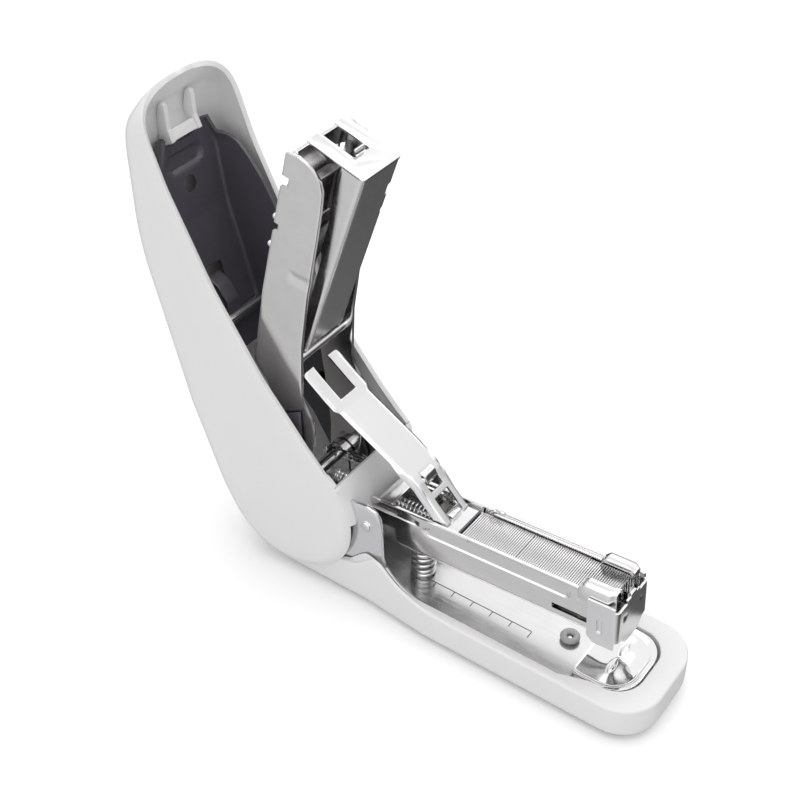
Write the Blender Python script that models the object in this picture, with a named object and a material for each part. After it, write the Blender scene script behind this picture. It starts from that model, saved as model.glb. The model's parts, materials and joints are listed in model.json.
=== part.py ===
"""A power-assist, flat-clinch stapler for 9 mm wide staples, opened for loading.

Lengths are in millimetres in this script and MM turns them into metres. Every body has an empty on its joint
axis. A body that swings is drawn lying along +X in its empty's own frame, and the empty's pitch stands it up.
x runs to the nose, y to the left, z up, and the table is z = 0.
"""

import math

import bmesh
import bpy
from mathutils import Matrix, Vector

MM = 0.001

# Sheet, gaps and walls
SHEET = 0.8
THIN_SHEET = 0.5
GAP = 0.3
HANDLE_WALL = 1.4
SADDLE_WALL = 0.9

# Overall sizes
BASE_FRONT = 45.0
BASE_REAR = -52.0
BASE_WIDTH = 28.0
HANDLE_WIDTH = 28.6
HANDLE_TIP = 94.2
RIM_HEIGHT = 9.0
SADDLE_HEIGHT = 13.0
PAD_STAND = 0.5

# Staples
STAPLE_WIDTH = 9.0
STAPLE_WIRE = 0.5
STAPLE_LEG = 5.0
STRIP_LENGTH = 35.8
STRIP_SEAM = 13.3

# Pivots, as (x, z): the main pin, the rear top corner of the staples, and the pitch of each body when open
MAIN_PIN = (-45.5, 20.5)
STAPLE_CORNER = (-5.0, 26.0)
MAGAZINE_PITCH = 3.48
HANDLE_PITCH = 119.3
ARM_PITCH = 84.9
PRESSER_PITCH = 71.6
LINK_PITCH = -29.0
PRESSER_AXIS = (36.4, 2.2)
LINK_AXIS = (-4.5, 0.9)
PIN_RADIUS = 1.9
RIVET_PLACE = (-24.5, 23.0)
RIVET_RADIUS = 1.15

# Half widths of the plates that pass between one another, from the outside in
HANDLE_OUT = HANDLE_WIDTH / 2
HANDLE_IN = HANDLE_OUT - HANDLE_WALL
SADDLE_OUT = HANDLE_IN - GAP
SADDLE_IN = SADDLE_OUT - SADDLE_WALL
EAR_OUT = SADDLE_IN - GAP
EAR_IN = EAR_OUT - SHEET
FRAME_OUT = EAR_IN - GAP
FRAME_IN = FRAME_OUT - SHEET
ARM_OUT = FRAME_IN - GAP
ARM_IN = ARM_OUT - SHEET
MAGAZINE_IN = STAPLE_WIDTH / 2 + 0.4
MAGAZINE_OUT = MAGAZINE_IN + SHEET
CAP_IN = MAGAZINE_OUT + GAP
CAP_OUT = CAP_IN + THIN_SHEET
PRESSER_OUT = 6.0
PRESSER_IN = PRESSER_OUT - 0.6
RAIL_OUT = STAPLE_WIDTH / 2 - STAPLE_WIRE - 0.4
BLADE_HALF = STAPLE_WIDTH / 2 - GAP

# Heights in the base
FLOOR_TOP = 4.6
ANVIL_TOP = 8.4
ANVIL_REAR = 26.5
ANVIL_FRONT = 39.3
ANVIL_HALF = 9.2
CLINCH_X = 32.0

# Heights and lengths in the magazine, in its own frame: u along the staples, w above their top
MAGAZINE_FLOOR = -10.0
MAGAZINE_TOP = 1.0
MAGAZINE_REAR = -15.8
MAGAZINE_FRONT = 37.6
CAP_REAR = 31.5
CAP_FRONT = 38.8
ROD_HEIGHT = -3.2
ROD_RADIUS = 0.5
PUSHER_REAR = -6.3
STOP_PLACE = -36.6


def collection(name):
    made = bpy.data.collections.new(name)
    bpy.context.scene.collection.children.link(made)
    return made


def finish(name, colour, roughness, metallic):
    material = bpy.data.materials.new(name)
    material.use_nodes = True
    shader = material.node_tree.nodes["Principled BSDF"]
    shader.inputs["Base Color"].default_value = (*colour, 1.0)
    shader.inputs["Roughness"].default_value = roughness
    shader.inputs["Metallic"].default_value = metallic
    material.diffuse_color = (*colour, 1.0)
    return material


def place(name, x, z, pitch=0.0, parent=None):
    """An empty on a joint's axis. Its own +X points `pitch` degrees above the horizontal."""
    empty = bpy.data.objects.new(name, None)
    empty.location = (x * MM, 0.0, z * MM)
    empty.rotation_euler = (0.0, -math.radians(pitch), 0.0)
    empty.empty_display_size = 5 * MM
    empty.parent = parent
    PIECES.objects.link(empty)
    return empty


def rounded(corners, step=15.0):
    """The outline through `corners`, each (a, b) or (a, b, radius), with an arc at each one that has a radius."""
    points = []
    for index, corner in enumerate(corners):
        here = Vector(corner[:2])
        if len(corner) == 2:
            points.append(here)
            continue
        radius = corner[2]
        back = (Vector(corners[index - 1][:2]) - here).normalized()
        on = (Vector(corners[(index + 1) % len(corners)][:2]) - here).normalized()
        half = back.angle(on) / 2
        centre = here + (back + on).normalized() * radius / math.sin(half)
        first = here + back * radius / math.tan(half) - centre
        sweep = math.copysign(math.pi - 2 * half, back.x * on.y - back.y * on.x) * -1
        count = max(1, round(abs(math.degrees(sweep)) / step))
        for number in range(count + 1):
            turned_by = Matrix.Rotation(sweep * number / count, 2)
            points.append(centre + turned_by @ first)
    return points


def circle(a, b, radius, count=24):
    angles = [2 * math.pi * number / count for number in range(count)]
    return [Vector((a + radius * math.cos(turn), b + radius * math.sin(turn))) for turn in angles]


def to_mesh(curve):
    """The curve as a closed mesh: its caps are welded to its sides."""
    carrier = bpy.data.objects.new("outline", curve)
    bpy.context.scene.collection.objects.link(carrier)
    graph = bpy.context.evaluated_depsgraph_get()
    mesh = bpy.data.meshes.new_from_object(carrier.evaluated_get(graph))
    bpy.data.objects.remove(carrier)
    bpy.data.curves.remove(curve)
    work = bmesh.new()
    work.from_mesh(mesh)
    bmesh.ops.remove_doubles(work, verts=work.verts, dist=1e-4)
    bmesh.ops.recalc_face_normals(work, faces=work.faces)
    work.to_mesh(mesh)
    work.free()
    return mesh


def plate(loops, low, high, flat="XZ"):
    """A plate with the first loop as its edge and the others as holes, between two values across it.

    flat names the plane of the loops: XZ for a side wall, XY for a plan, and YZ for a cross wall.
    """
    curve = bpy.data.curves.new("outline", "CURVE")
    curve.dimensions = "2D"
    curve.fill_mode = "BOTH"
    curve.extrude = (high - low) / 2
    for loop in loops:
        spline = curve.splines.new("POLY")
        spline.points.add(len(loop) - 1)
        spline.use_cyclic_u = True
        for point, (a, b) in zip(spline.points, loop):
            point.co = (a, b, 0.0, 1.0)
    mesh = to_mesh(curve)
    turn = {
        "XY": Matrix.Identity(4),
        "XZ": Matrix.Rotation(math.radians(90), 4, "X"),
        "YZ": Matrix(((0, 0, 1, 0), (1, 0, 0, 0), (0, 1, 0, 0), (0, 0, 0, 1))),
    }[flat]
    across = {"XY": (0, 0, 1), "XZ": (0, 1, 0), "YZ": (1, 0, 0)}[flat]
    mesh.transform(Matrix.Translation(Vector(across) * (low + high) / 2) @ turn)
    return mesh


def block(x, y, z):
    """A box from three (low, high) pairs."""
    work = bmesh.new()
    bmesh.ops.create_cube(work, size=1.0)
    mesh = bpy.data.meshes.new("block")
    work.to_mesh(mesh)
    work.free()
    sizes = [high - low for low, high in (x, y, z)]
    middle = [(low + high) / 2 for low, high in (x, y, z)]
    mesh.transform(Matrix.Translation(middle) @ Matrix.Diagonal((*sizes, 1.0)))
    return mesh


def rod(centre, radius, length, axis="Y", count=24):
    """A cylinder centred on `centre`."""
    work = bmesh.new()
    bmesh.ops.create_cone(work, cap_ends=True, segments=count, radius1=radius, radius2=radius, depth=length)
    mesh = bpy.data.meshes.new("rod")
    work.to_mesh(mesh)
    work.free()
    turn = {"X": ("Y", 90), "Y": ("X", 90), "Z": ("Z", 0)}[axis]
    mesh.transform(Matrix.Translation(centre) @ Matrix.Rotation(math.radians(turn[1]), 4, turn[0]))
    return mesh


def coil(start, end, radius, wire, turns, per_turn=10):
    """A helical spring from `start` to `end`, with its last turn at each end closed flat."""
    along = Vector(end) - Vector(start)
    length = along.length
    count = turns * per_turn
    curve = bpy.data.curves.new("coil", "CURVE")
    curve.dimensions = "3D"
    curve.bevel_depth = wire / 2
    curve.bevel_resolution = 2
    curve.use_fill_caps = True
    spline = curve.splines.new("POLY")
    spline.points.add(count)
    closed = wire * 1.1
    for number, point in enumerate(spline.points):
        turn = number / per_turn
        if turn <= 1:
            height = closed * turn
        elif turn >= turns - 1:
            height = length - wire - closed * (turns - turn)
        else:
            height = closed + (length - wire - 2 * closed) * (turn - 1) / (turns - 2)
        angle = 2 * math.pi * turn
        place_here = (radius * math.cos(angle), radius * math.sin(angle), height + wire / 2)
        point.co = (*place_here, 1.0)
    mesh = to_mesh(curve)
    lean = Vector((0, 0, 1)).rotation_difference(along).to_matrix().to_4x4()
    mesh.transform(Matrix.Translation(start) @ lean)
    return mesh


def soften(mesh, radius, wanted, segments=4):
    """Rounds the sharp edges whose two ends both satisfy `wanted`."""
    work = bmesh.new()
    work.from_mesh(mesh)
    bmesh.ops.dissolve_limit(work, angle_limit=math.radians(0.5), verts=work.verts, edges=work.edges)
    sharp = [edge for edge in work.edges if edge.calc_face_angle(0) > math.radians(60)]
    edges = [edge for edge in sharp if all(wanted(end.co) for end in edge.verts)]
    bmesh.ops.bevel(work, geom=edges, offset=radius, segments=segments, profile=0.5, affect="EDGES")
    work.to_mesh(mesh)
    work.free()
    return mesh


def piece(name, mesh, parent, material, smooth=True):
    mesh.transform(Matrix.Scale(MM, 4))
    mesh.name = name
    mesh.materials.clear()
    mesh.materials.append(material)
    made = bpy.data.objects.new(name, mesh)
    made.parent = parent
    PIECES.objects.link(made)
    if smooth:
        mesh.shade_smooth()
        mesh.set_sharp_from_angle(angle=math.radians(35))
    return made


def tool(mesh, parent):
    """A hidden shape that a Boolean works with."""
    mesh.transform(Matrix.Scale(MM, 4))
    made = bpy.data.objects.new("cutter", mesh)
    made.parent = parent
    made.hide_render = True
    made.display_type = "WIRE"
    CUTTERS.objects.link(made)
    return made


def combine(target, mesh, operation="DIFFERENCE"):
    """Adds a Boolean to `target` and returns the hidden shape that it works with."""
    other = tool(mesh, target.parent)
    modifier = target.modifiers.new(operation.lower(), "BOOLEAN")
    modifier.operation = operation
    modifier.object = other
    modifier.solver = "EXACT"
    return other


def pin_holes(target, centre, radius):
    """A hole straight across the object, for a pin along y."""
    combine(target, rod((centre[0], 0, centre[1]), radius, 2 * HANDLE_WIDTH))


def build_base(base):
    taper_from, taper_to = -8.0, -24.0
    half = BASE_WIDTH / 2
    plan = [(BASE_FRONT, -half, 9), (BASE_FRONT, half, 9), (taper_from, half, 30), (taper_to, SADDLE_OUT, 30)]
    plan += [(BASE_REAR, SADDLE_OUT, 5), (BASE_REAR, -SADDLE_OUT, 5)]
    plan += [(taper_to, -SADDLE_OUT, 30), (taper_from, -half, 30)]
    solid = plate([rounded(plan)], PAD_STAND, SADDLE_HEIGHT + 5, "XY")
    soften(solid, 2.0, lambda point: point.z < PAD_STAND + 0.01)
    cover = piece("base_cover", solid, base, WHITE)
    side = [(BASE_REAR, PAD_STAND, 5), (BASE_REAR, SADDLE_HEIGHT, 3), (-23.0, SADDLE_HEIGHT, 5)]
    side += [(-16.5, RIM_HEIGHT, 6), (BASE_FRONT, RIM_HEIGHT, 2.5), (BASE_FRONT, PAD_STAND, 3)]
    combine(cover, plate([rounded(side)], -HANDLE_WIDTH, HANDLE_WIDTH), "INTERSECT")
    tray_front, tray_rear = 25.7, BASE_REAR + 1.2
    pocket = [(tray_front, SADDLE_IN), (tray_front, -SADDLE_IN)]
    pocket += [(tray_rear, -SADDLE_IN, 0.4), (tray_rear, SADDLE_IN, 0.4)]
    combine(cover, plate([rounded(pocket)], FLOOR_TOP - SHEET - GAP, 30.0, "XY"))
    anvil_pocket = anvil_plan(GAP + 0.1, rear=25.0)
    combine(cover, plate([rounded(anvil_pocket)], ANVIL_TOP - 1.5, 30.0, "XY"))
    pad_rear, pad_front, pad_half = -40.0, 37.6, 8.6
    recess = [(pad_rear - GAP, -pad_half - GAP, 3), (pad_front + GAP, -pad_half - GAP, 3)]
    recess += [(pad_front + GAP, pad_half + GAP, 3), (pad_rear - GAP, pad_half + GAP, 3)]
    combine(cover, plate([rounded(recess)], -1.0, 1.6, "XY"))
    pad = [(pad_rear, -pad_half, 2.7), (pad_front, -pad_half, 2.7), (pad_front, pad_half, 2.7)]
    pad += [(pad_rear, pad_half, 2.7)]
    piece("foot_pad", plate([rounded(pad)], 0.0, 1.6 - GAP, "XY"), base, RUBBER)

    ear = [(-50.3, FLOOR_TOP - SHEET), (25.4, FLOOR_TOP - SHEET)]
    ear += [(25.4, RIM_HEIGHT - 0.8), (-13.5, RIM_HEIGHT - 0.8, 2)]
    ear += [(-20.3, 14.1, 2.5), (-20.7, 25.9, 2), (-23.0, 28.9, 1.5), (-34.0, 27.5, 8), (-50.3, 26.0, 5)]
    frame = piece("base_frame", plate([rounded(ear)], -EAR_OUT, EAR_OUT), base, STEEL)
    combine(frame, block((-60, 60), (-EAR_IN, EAR_IN), (FLOOR_TOP, 60)))
    pin_holes(frame, MAIN_PIN, PIN_RADIUS + GAP)
    pin_holes(frame, RIVET_PLACE, RIVET_RADIUS - 0.2)

    anvil = piece("anvil", plate([rounded(anvil_plan(0.0))], ANVIL_TOP - 1.2, ANVIL_TOP, "XY"), base, CHROME)
    for side_sign in (-1, 1):
        low, high = sorted((side_sign * 0.35, side_sign * (STAPLE_WIDTH / 2 + 0.4)))
        groove = [(CLINCH_X - 1.3, low, 1.2), (CLINCH_X + 1.3, low, 1.2)]
        groove += [(CLINCH_X + 1.3, high, 1.2), (CLINCH_X - 1.3, high, 1.2)]
        combine(anvil, plate([rounded(groove)], ANVIL_TOP - 0.5, ANVIL_TOP + 1, "XY"))

    grommet_place = Vector((20.2, 1.5))
    ring = [circle(*grommet_place, 2.0), circle(*grommet_place, 0.9, 16)]
    piece("grommet", soften(plate(ring, FLOOR_TOP + GAP, FLOOR_TOP + 2.4, "XY"), 0.35,
                            lambda point: point.z > FLOOR_TOP + 2.3, 2), base, RUBBER)
    piece("grommet_stud", rod((*grommet_place, FLOOR_TOP + 1.1), 0.6, 1.6, "Z", 16), base, STEEL)

    pin = piece("pivot_pin", rod((MAIN_PIN[0], 0, MAIN_PIN[1]), PIN_RADIUS, 2 * EAR_OUT + 1.2), base, STEEL)
    for side_sign, side_name in ((1, "left"), (-1, "right")):
        head = rod((MAIN_PIN[0], side_sign * (EAR_OUT + 0.65), MAIN_PIN[1]), PIN_RADIUS + 0.9, 0.7)
        combine(pin, head, "UNION")
        bush = [circle(*MAIN_PIN, PIN_RADIUS + 1.2), circle(*MAIN_PIN, PIN_RADIUS + GAP)]
        low, high = sorted((side_sign * (MAGAZINE_OUT + GAP), side_sign * (ARM_IN - GAP)))
        piece("pivot_bush_" + side_name, plate(bush, low, high), base, STEEL)
        shank = (RIVET_PLACE[0], side_sign * (EAR_OUT + 0.35), RIVET_PLACE[1])
        rivet = piece("ear_rivet_" + side_name, soften(rod(shank, RIVET_RADIUS, 0.6), 0.2,
                                                       lambda point: abs(point.y) > EAR_OUT + 0.6, 2), base, STEEL)
        neck = (RIVET_PLACE[0], side_sign * (EAR_OUT - 0.3), RIVET_PLACE[1])
        combine(rivet, rod(neck, RIVET_RADIUS - 0.35, 1.0), "UNION")


def anvil_plan(grow, rear=ANVIL_REAR):
    half = ANVIL_HALF + grow
    return [(rear, -half), (ANVIL_FRONT + grow, -half, 6.5), (ANVIL_FRONT + grow, half, 6.5), (rear, half)]


def build_magazine(magazine):
    wall = [(MAGAZINE_REAR, MAGAZINE_FLOOR, 0.8), (MAGAZINE_FRONT, MAGAZINE_FLOOR)]
    wall += [(MAGAZINE_FRONT, MAGAZINE_TOP), (-30.0, MAGAZINE_TOP, 6), (-44.2, -0.4, 3)]
    wall += [(-44.2, -6.6, 3), (-36.0, -6.2, 2), (MAGAZINE_REAR, -4.9, 0.6)]
    body = piece("magazine", plate([rounded(wall)], -MAGAZINE_OUT, MAGAZINE_OUT), magazine, STEEL)
    combine(body, block((-60, 60), (-MAGAZINE_IN, MAGAZINE_IN), (MAGAZINE_FLOOR + SHEET, 20)))
    combine(body, block((CAP_FRONT - 3.4, 60), (-MAGAZINE_IN, MAGAZINE_IN), (-20, 20)))
    pin_holes(body, PIN_IN_MAGAZINE, PIN_RADIUS + GAP)

    side = [(CAP_REAR, -11.6, 0.8), (CAP_FRONT, -11.6, 0.8), (CAP_FRONT, 1.2, 0.5), (CAP_REAR, 1.2, 0.8)]
    cap = piece("front_cap", plate([rounded(side)], -CAP_OUT, CAP_OUT), magazine, STEEL)
    combine(cap, block((CAP_REAR - 1, CAP_FRONT - THIN_SHEET), (-CAP_IN, CAP_IN), (-20, 20)))

    rail_height = (MAGAZINE_FLOOR + SHEET + GAP, -0.8)
    rail = piece("staple_rail", block((0.3, 33.0), (-RAIL_OUT, RAIL_OUT), rail_height), magazine, STEEL)
    combine(rail, block((-5, 60), (0.6 - RAIL_OUT, RAIL_OUT - 0.6), (-20, -1.4)))

    half = STAPLE_WIDTH / 2
    strips = [("staple_strip_rear", 0.0, STRIP_SEAM - 0.1)]
    strips += [("staple_strip_front", STRIP_SEAM + 0.1, STRIP_LENGTH)]
    for name, low, high in strips:
        strip = piece(name, block((low, high), (-half, half), (-STAPLE_LEG, 0.0)), magazine, ZINC)
        inside = (STAPLE_WIRE - half, half - STAPLE_WIRE)
        combine(strip, block((low - 1, high + 1), inside, (-20, -STAPLE_WIRE)))

    rod_rear = STOP_PLACE + GAP
    rod_front = 32.5
    middle = ((rod_rear + rod_front) / 2, 0, ROD_HEIGHT)
    piece("guide_rod", rod(middle, ROD_RADIUS, rod_front - rod_rear, "X", 12), magazine, STEEL)
    spring = coil((rod_rear, 0, ROD_HEIGHT), (PUSHER_REAR - GAP, 0, ROD_HEIGHT), 1.5, 0.45, 15)
    piece("pusher_spring", spring, magazine, STEEL)
    stop_half = MAGAZINE_IN - GAP
    stop = block((STOP_PLACE - SHEET, STOP_PLACE), (-stop_half, stop_half), (-5.6, 0.4))
    piece("spring_stop", stop, magazine, STEEL)
    bridge = plate([rounded([(-20.3, -MAGAZINE_OUT, 0.5), (-16.6, -MAGAZINE_OUT, 0.5),
                             (-16.6, MAGAZINE_OUT, 0.5), (-20.3, MAGAZINE_OUT, 0.5)])],
                   MAGAZINE_TOP + GAP, MAGAZINE_TOP + GAP + 0.6, "XY")
    piece("bridge_plate", bridge, magazine, STEEL)


def build_pusher(slider):
    half = STAPLE_WIDTH / 2
    body = piece("pusher", block((PUSHER_REAR, -GAP), (-half, half), (-STAPLE_LEG, 0.1)), slider, STEEL)
    combine(body, block((PUSHER_REAR + 0.6, 5), (0.6 - half, half - 0.6), (-20, -0.5)))
    combine(body, rod((PUSHER_REAR, 0, ROD_HEIGHT), ROD_RADIUS + GAP, 4.0, "X", 16))
    lug = plate([rounded([(-5.6, -0.2), (-3.4, -0.2), (-3.4, 1.3, 0.6), (-5.6, 1.3, 0.6)])], -1.8, 1.8)
    combine(body, lug, "UNION")


def build_link(link):
    rest, thick = 3.1, SHEET
    top, under = rest + thick / 2, rest - thick / 2
    length, fork_from, bend = 43.0, 32.5, 9.4
    side = [(-length - 1, top + 1.6), (-fork_from, top, 10), (-bend, top, 3), (0.6, 0.3)]
    side += [(0.2, -0.45), (-bend - 0.3, under, 2.4), (-fork_from, under, 10), (-length - 1, under + 1.6)]
    body = piece("link", plate([rounded(side)], -8, 8), link, STEEL)
    plan = [(-length, 2.6), (-length, 5.7, 0.8), (-fork_from, 5.9, 0.5), (-fork_from + 1.2, 5.1, 0.5)]
    end_half = STAPLE_WIDTH / 2
    plan += [(-12.0, 5.1, 2), (-bend, end_half, 1), (1.0, end_half, 0.4), (1.0, 2.6), (-5.0, 2.6, 0.8)]
    mirrored = [(corner[0], -corner[1], *corner[2:]) for corner in reversed(plan)]
    fork = [(-fork_from - 1.6, -2.6, 0.6), (-fork_from - 1.6, 2.6, 0.6)]
    window = [(-11.2, -2.0, 0.4), (-7.2, -2.0, 0.4), (-7.2, 2.0, 0.4), (-11.2, 2.0, 0.4)]
    combine(body, plate([rounded(plan + mirrored + fork), rounded(window)], -3, 12, "XY"), "INTERSECT")


def build_arm(arm):
    web_rear, web_front = 31.0, 85.9
    wall = [(-4, -4, 3.8), (-4, 4, 3.8), (6, 4.2), (27.5, 8.5, 4), (web_rear, 12.8, 3), (51, 10.9), (66, 8.8)]
    wall += [(web_front, 5.8, 0.8), (web_front, 1.0, 3), (81.4, -2.9, 4), (69.8, -2.0, 20), (54.4, -0.3, 20)]
    wall += [(41, 0.5, 20), (26.6, -0.6, 1.5), (22, -3.6, 3), (6, -4.2)]
    body = piece("driver_arm", plate([rounded(wall)], -ARM_OUT, ARM_OUT), arm, NICKEL)
    inside = [(-10, -15), (-10, 25), (web_rear - 1, 25), (web_rear - 1, 12.1)]
    inside += [(51, 10.1), (66, 8.0), (95, 3.94), (95, -15)]
    combine(body, plate([inside], -ARM_IN, ARM_IN))
    pin_holes(body, (0, 0), PIN_RADIUS + GAP)
    pin_holes(body, PRESSER_AXIS, 1.0 + GAP)

    top = [(36, 11.0), (51, 9.7), (66, 7.6), (78, 5.9)]
    leaf = top + [(78, -4.5), (77.5, -4.5), (77.5, 5.45)]
    leaf += [(a, b - THIN_SHEET) for a, b in reversed(top[:-1])]
    blade = piece("driver_blade", plate([leaf], -BLADE_HALF, BLADE_HALF), arm, STEEL)
    rivet_at = (44.0, 0, 10.9)
    for holed in (body, blade):
        combine(holed, rod(rivet_at, 1.0 + GAP, 6, "Z", 20))
    piece("blade_rivet", rod(rivet_at, 1.0, 2.2, "Z", 20), arm, STEEL)
    piece("presser_pin", rod((PRESSER_AXIS[0], 0, PRESSER_AXIS[1]), 1.0, 2 * ARM_OUT, "Y", 16), arm, STEEL)


def build_presser(presser):
    web = 0.6
    front, step_at = 50.0, 42.0
    side = [(-2.2, -1.4, 1.2), (-2.2, 2.4, 1.6), (4, 2.4), (step_at, 1.8), (step_at, 4.5, 0.6)]
    side += [(front - web, 4.5), (front - web, 13.3), (front, 13.3), (front, -web, 0.5), (3.4, -web), (2.0, -1.4)]
    body = piece("staple_presser", plate([rounded(side)], -PRESSER_OUT, PRESSER_OUT), presser, NICKEL)
    inside = [(-6, -6), (-6, 25), (front - web, 25), (front - web, 0), (3.4, 0), (3.4, -6)]
    combine(body, plate([inside], -PRESSER_IN, PRESSER_IN))
    combine(body, block((front - 2, front + 2), (-2.3, 2.3), (3.0, 20)))
    combine(body, block((38.5, 45.0), (-BLADE_HALF - GAP, BLADE_HALF + GAP), (-3, 1)))
    pin_holes(body, (0, 0), 1.0 + GAP)


def build_handle(handle):
    wall = HANDLE_WALL
    front, round_end = HANDLE_TIP - 4.4, 18.4
    crown = [(front, -7.6, 6), (66.0, 5.6, 60), (27.4, 15.4, 40), (6.0, 18.7, 20)]
    outer = [(6.0, -round_end, 8), (13.0, -15.6, 14), (30.0, -12.3, 40), (52.0, -10.8, 60), (74.0, -11.7, 40)]
    outer += [(84.0, -13.3, 14), (HANDLE_TIP - 0.3, -14.6, 0.8)] + crown
    outer += [(-round_end, round_end, round_end - 0.1), (-round_end, -round_end, round_end - 0.1)]
    shell = plate([rounded(outer)], -HANDLE_OUT, HANDLE_OUT)
    soften(shell, 4.0, lambda point: point.z > -7.0)
    cover = piece("handle_cover", shell, handle, WHITE)
    plan = [(-30, -HANDLE_OUT), (HANDLE_TIP - 0.8, -HANDLE_OUT, 9), (HANDLE_TIP - 0.8, HANDLE_OUT, 9), (-30, HANDLE_OUT)]
    combine(cover, plate([rounded(plan)], -60, 60, "XY"), "INTERSECT")
    inner_crown = [(a, b - wall, radius) for a, b, radius in crown[1:]]
    inner = [(-25, -60), (-25, 30), (-7.5, 30), (-7.5, 16.8)] + inner_crown[::-1]
    tip_inside = HANDLE_TIP - wall - 0.5
    inner += [(front - 1.2, -8.6, 4.6), (tip_inside, -14.6), (tip_inside, -60)]
    hollow = plate([rounded(inner)], -HANDLE_IN, HANDLE_IN)
    soften(hollow, 2.6, lambda point: -9.0 + point.x * 0.06 < point.z < 20)  # follows the crown towards the tip
    cutter = combine(cover, hollow)
    inner_plan = [(-30, -HANDLE_IN), (HANDLE_TIP - 0.8 - wall, -HANDLE_IN, 7.6)]
    inner_plan += [(HANDLE_TIP - 0.8 - wall, HANDLE_IN, 7.6), (-30, HANDLE_IN)]
    combine(cutter, plate([rounded(inner_plan)], -70, 70, "XY"), "INTERSECT")

    web_rear = 32.0
    side = [(-5, -5, 4.8), (-5, 5, 4.8), (10, 4.8), (28, 6, 4), (web_rear, 9.9, 1), (64, 2.2), (79, -4.0, 1)]
    side += [(78.3, -7.5, 2), (74.5, -10.8, 5), (66, -12.6, 8), (30, -13.6, 20), (18, -14.4, 4), (8, -6, 4)]
    frame = piece("handle_frame", plate([rounded(side)], -FRAME_OUT, FRAME_OUT), handle, BLACK)
    inside = [(-10, -25), (-10, 25), (web_rear - 1, 25), (web_rear - 1, 9.3)]
    inside += [(64, 1.4), (95, -11.4), (95, -25)]
    combine(frame, plate([inside], -FRAME_IN, FRAME_IN))
    pin_holes(frame, (0, 0), PIN_RADIUS + GAP)
    combine(frame, rod((71.2, 0, 0), 1.6, 30, "Z", 24))
    combine(frame, block((42.5, 54.5), (-3, 3), (-30, 30)))

    catch = [(79.8, -4.5), (86.8, -4.5), (86.8, -1.6), (82.5, -1.6)]
    catch += [(82.5, 1.6), (86.8, 1.6), (86.8, 4.5), (79.8, 4.5)]
    piece("frame_catch", plate([catch], -9.8, -8.0, "XY"), handle, WHITE)
    piece("press_roller", rod((40.0, 0, 4.0), 1.4, 2 * FRAME_IN - 2 * GAP, "Y", 20), handle, STEEL)


def build_return_spring(base):
    """The spring under the magazine, which lifts it again after each stroke."""
    place_x, seat_top, height = -17.0, FLOOR_TOP + GAP, 9.9
    spring = coil((place_x, 0, seat_top), (place_x, 0, seat_top + height), 2.6, 0.8, 5, 14)
    piece("return_spring", spring, base, STEEL)


for leftover in list(bpy.data.objects):
    bpy.data.objects.remove(leftover)
PIECES = collection("stapler")
CUTTERS = collection("cutters")

WHITE = finish("white_plastic", (0.80, 0.80, 0.785), 0.38, 0.0)
BLACK = finish("black_paint", (0.035, 0.035, 0.045), 0.35, 0.0)
STEEL = finish("bright_steel", (0.72, 0.72, 0.73), 0.22, 1.0)
NICKEL = finish("nickel_plate", (0.68, 0.67, 0.67), 0.16, 1.0)
CHROME = finish("chrome_plate", (0.80, 0.80, 0.82), 0.06, 1.0)
ZINC = finish("staple_wire", (0.62, 0.62, 0.63), 0.3, 1.0)
RUBBER = finish("grey_rubber", (0.10, 0.10, 0.10), 0.7, 0.0)

lift = math.radians(MAGAZINE_PITCH)
across = Vector((MAIN_PIN[0] - STAPLE_CORNER[0], MAIN_PIN[1] - STAPLE_CORNER[1]))
PIN_IN_MAGAZINE = tuple(Matrix.Rotation(-lift, 2) @ across)

base_axis = place("base_axis", 0.0, 0.0)
magazine_axis = place("magazine_axis", *MAIN_PIN)
magazine_seat = place("magazine_seat", *across * -1, MAGAZINE_PITCH, magazine_axis)
link_axis = place("link_axis", *LINK_AXIS, LINK_PITCH - MAGAZINE_PITCH, magazine_seat)
handle_axis = place("handle_axis", *MAIN_PIN, HANDLE_PITCH)
arm_axis = place("arm_axis", *MAIN_PIN, ARM_PITCH)
presser_axis = place("presser_axis", *PRESSER_AXIS, PRESSER_PITCH - ARM_PITCH, arm_axis)

build_base(base_axis)
build_magazine(magazine_seat)
build_pusher(magazine_seat)
build_link(link_axis)
build_arm(arm_axis)
build_presser(presser_axis)
build_handle(handle_axis)
build_return_spring(base_axis)
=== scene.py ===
"""Looks of the opened power-assist stapler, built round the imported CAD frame.

Lengths are in millimetres until stand() turns them into metres. A body that swings is drawn lying along s,
with h above it and y to its left, and stand() puts it at its pivot and turns it up by its pitch.
"""

import json
import math

import bmesh
import bpy
import numpy as np
from mathutils import Matrix, Vector


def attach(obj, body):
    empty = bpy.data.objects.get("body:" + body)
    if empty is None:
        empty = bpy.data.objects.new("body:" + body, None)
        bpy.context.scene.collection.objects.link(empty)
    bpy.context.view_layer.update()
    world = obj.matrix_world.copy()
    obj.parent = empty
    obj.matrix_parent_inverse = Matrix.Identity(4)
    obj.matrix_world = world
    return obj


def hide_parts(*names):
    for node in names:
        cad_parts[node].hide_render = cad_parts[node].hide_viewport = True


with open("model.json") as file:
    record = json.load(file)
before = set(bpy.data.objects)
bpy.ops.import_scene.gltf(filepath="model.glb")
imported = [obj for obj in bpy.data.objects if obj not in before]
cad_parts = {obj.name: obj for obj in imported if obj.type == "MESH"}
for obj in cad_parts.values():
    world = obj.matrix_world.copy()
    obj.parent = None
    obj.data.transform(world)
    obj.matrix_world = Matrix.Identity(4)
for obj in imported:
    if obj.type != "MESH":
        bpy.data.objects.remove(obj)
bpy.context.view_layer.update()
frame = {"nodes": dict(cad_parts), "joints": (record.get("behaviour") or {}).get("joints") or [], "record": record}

MM = 0.001
PIVOT = {joint["name"]: joint.get("pos_m") for joint in frame["joints"]}
MAIN_PIN = (PIVOT["handle_hinge"][0] / MM, PIVOT["handle_hinge"][2] / MM)
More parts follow.
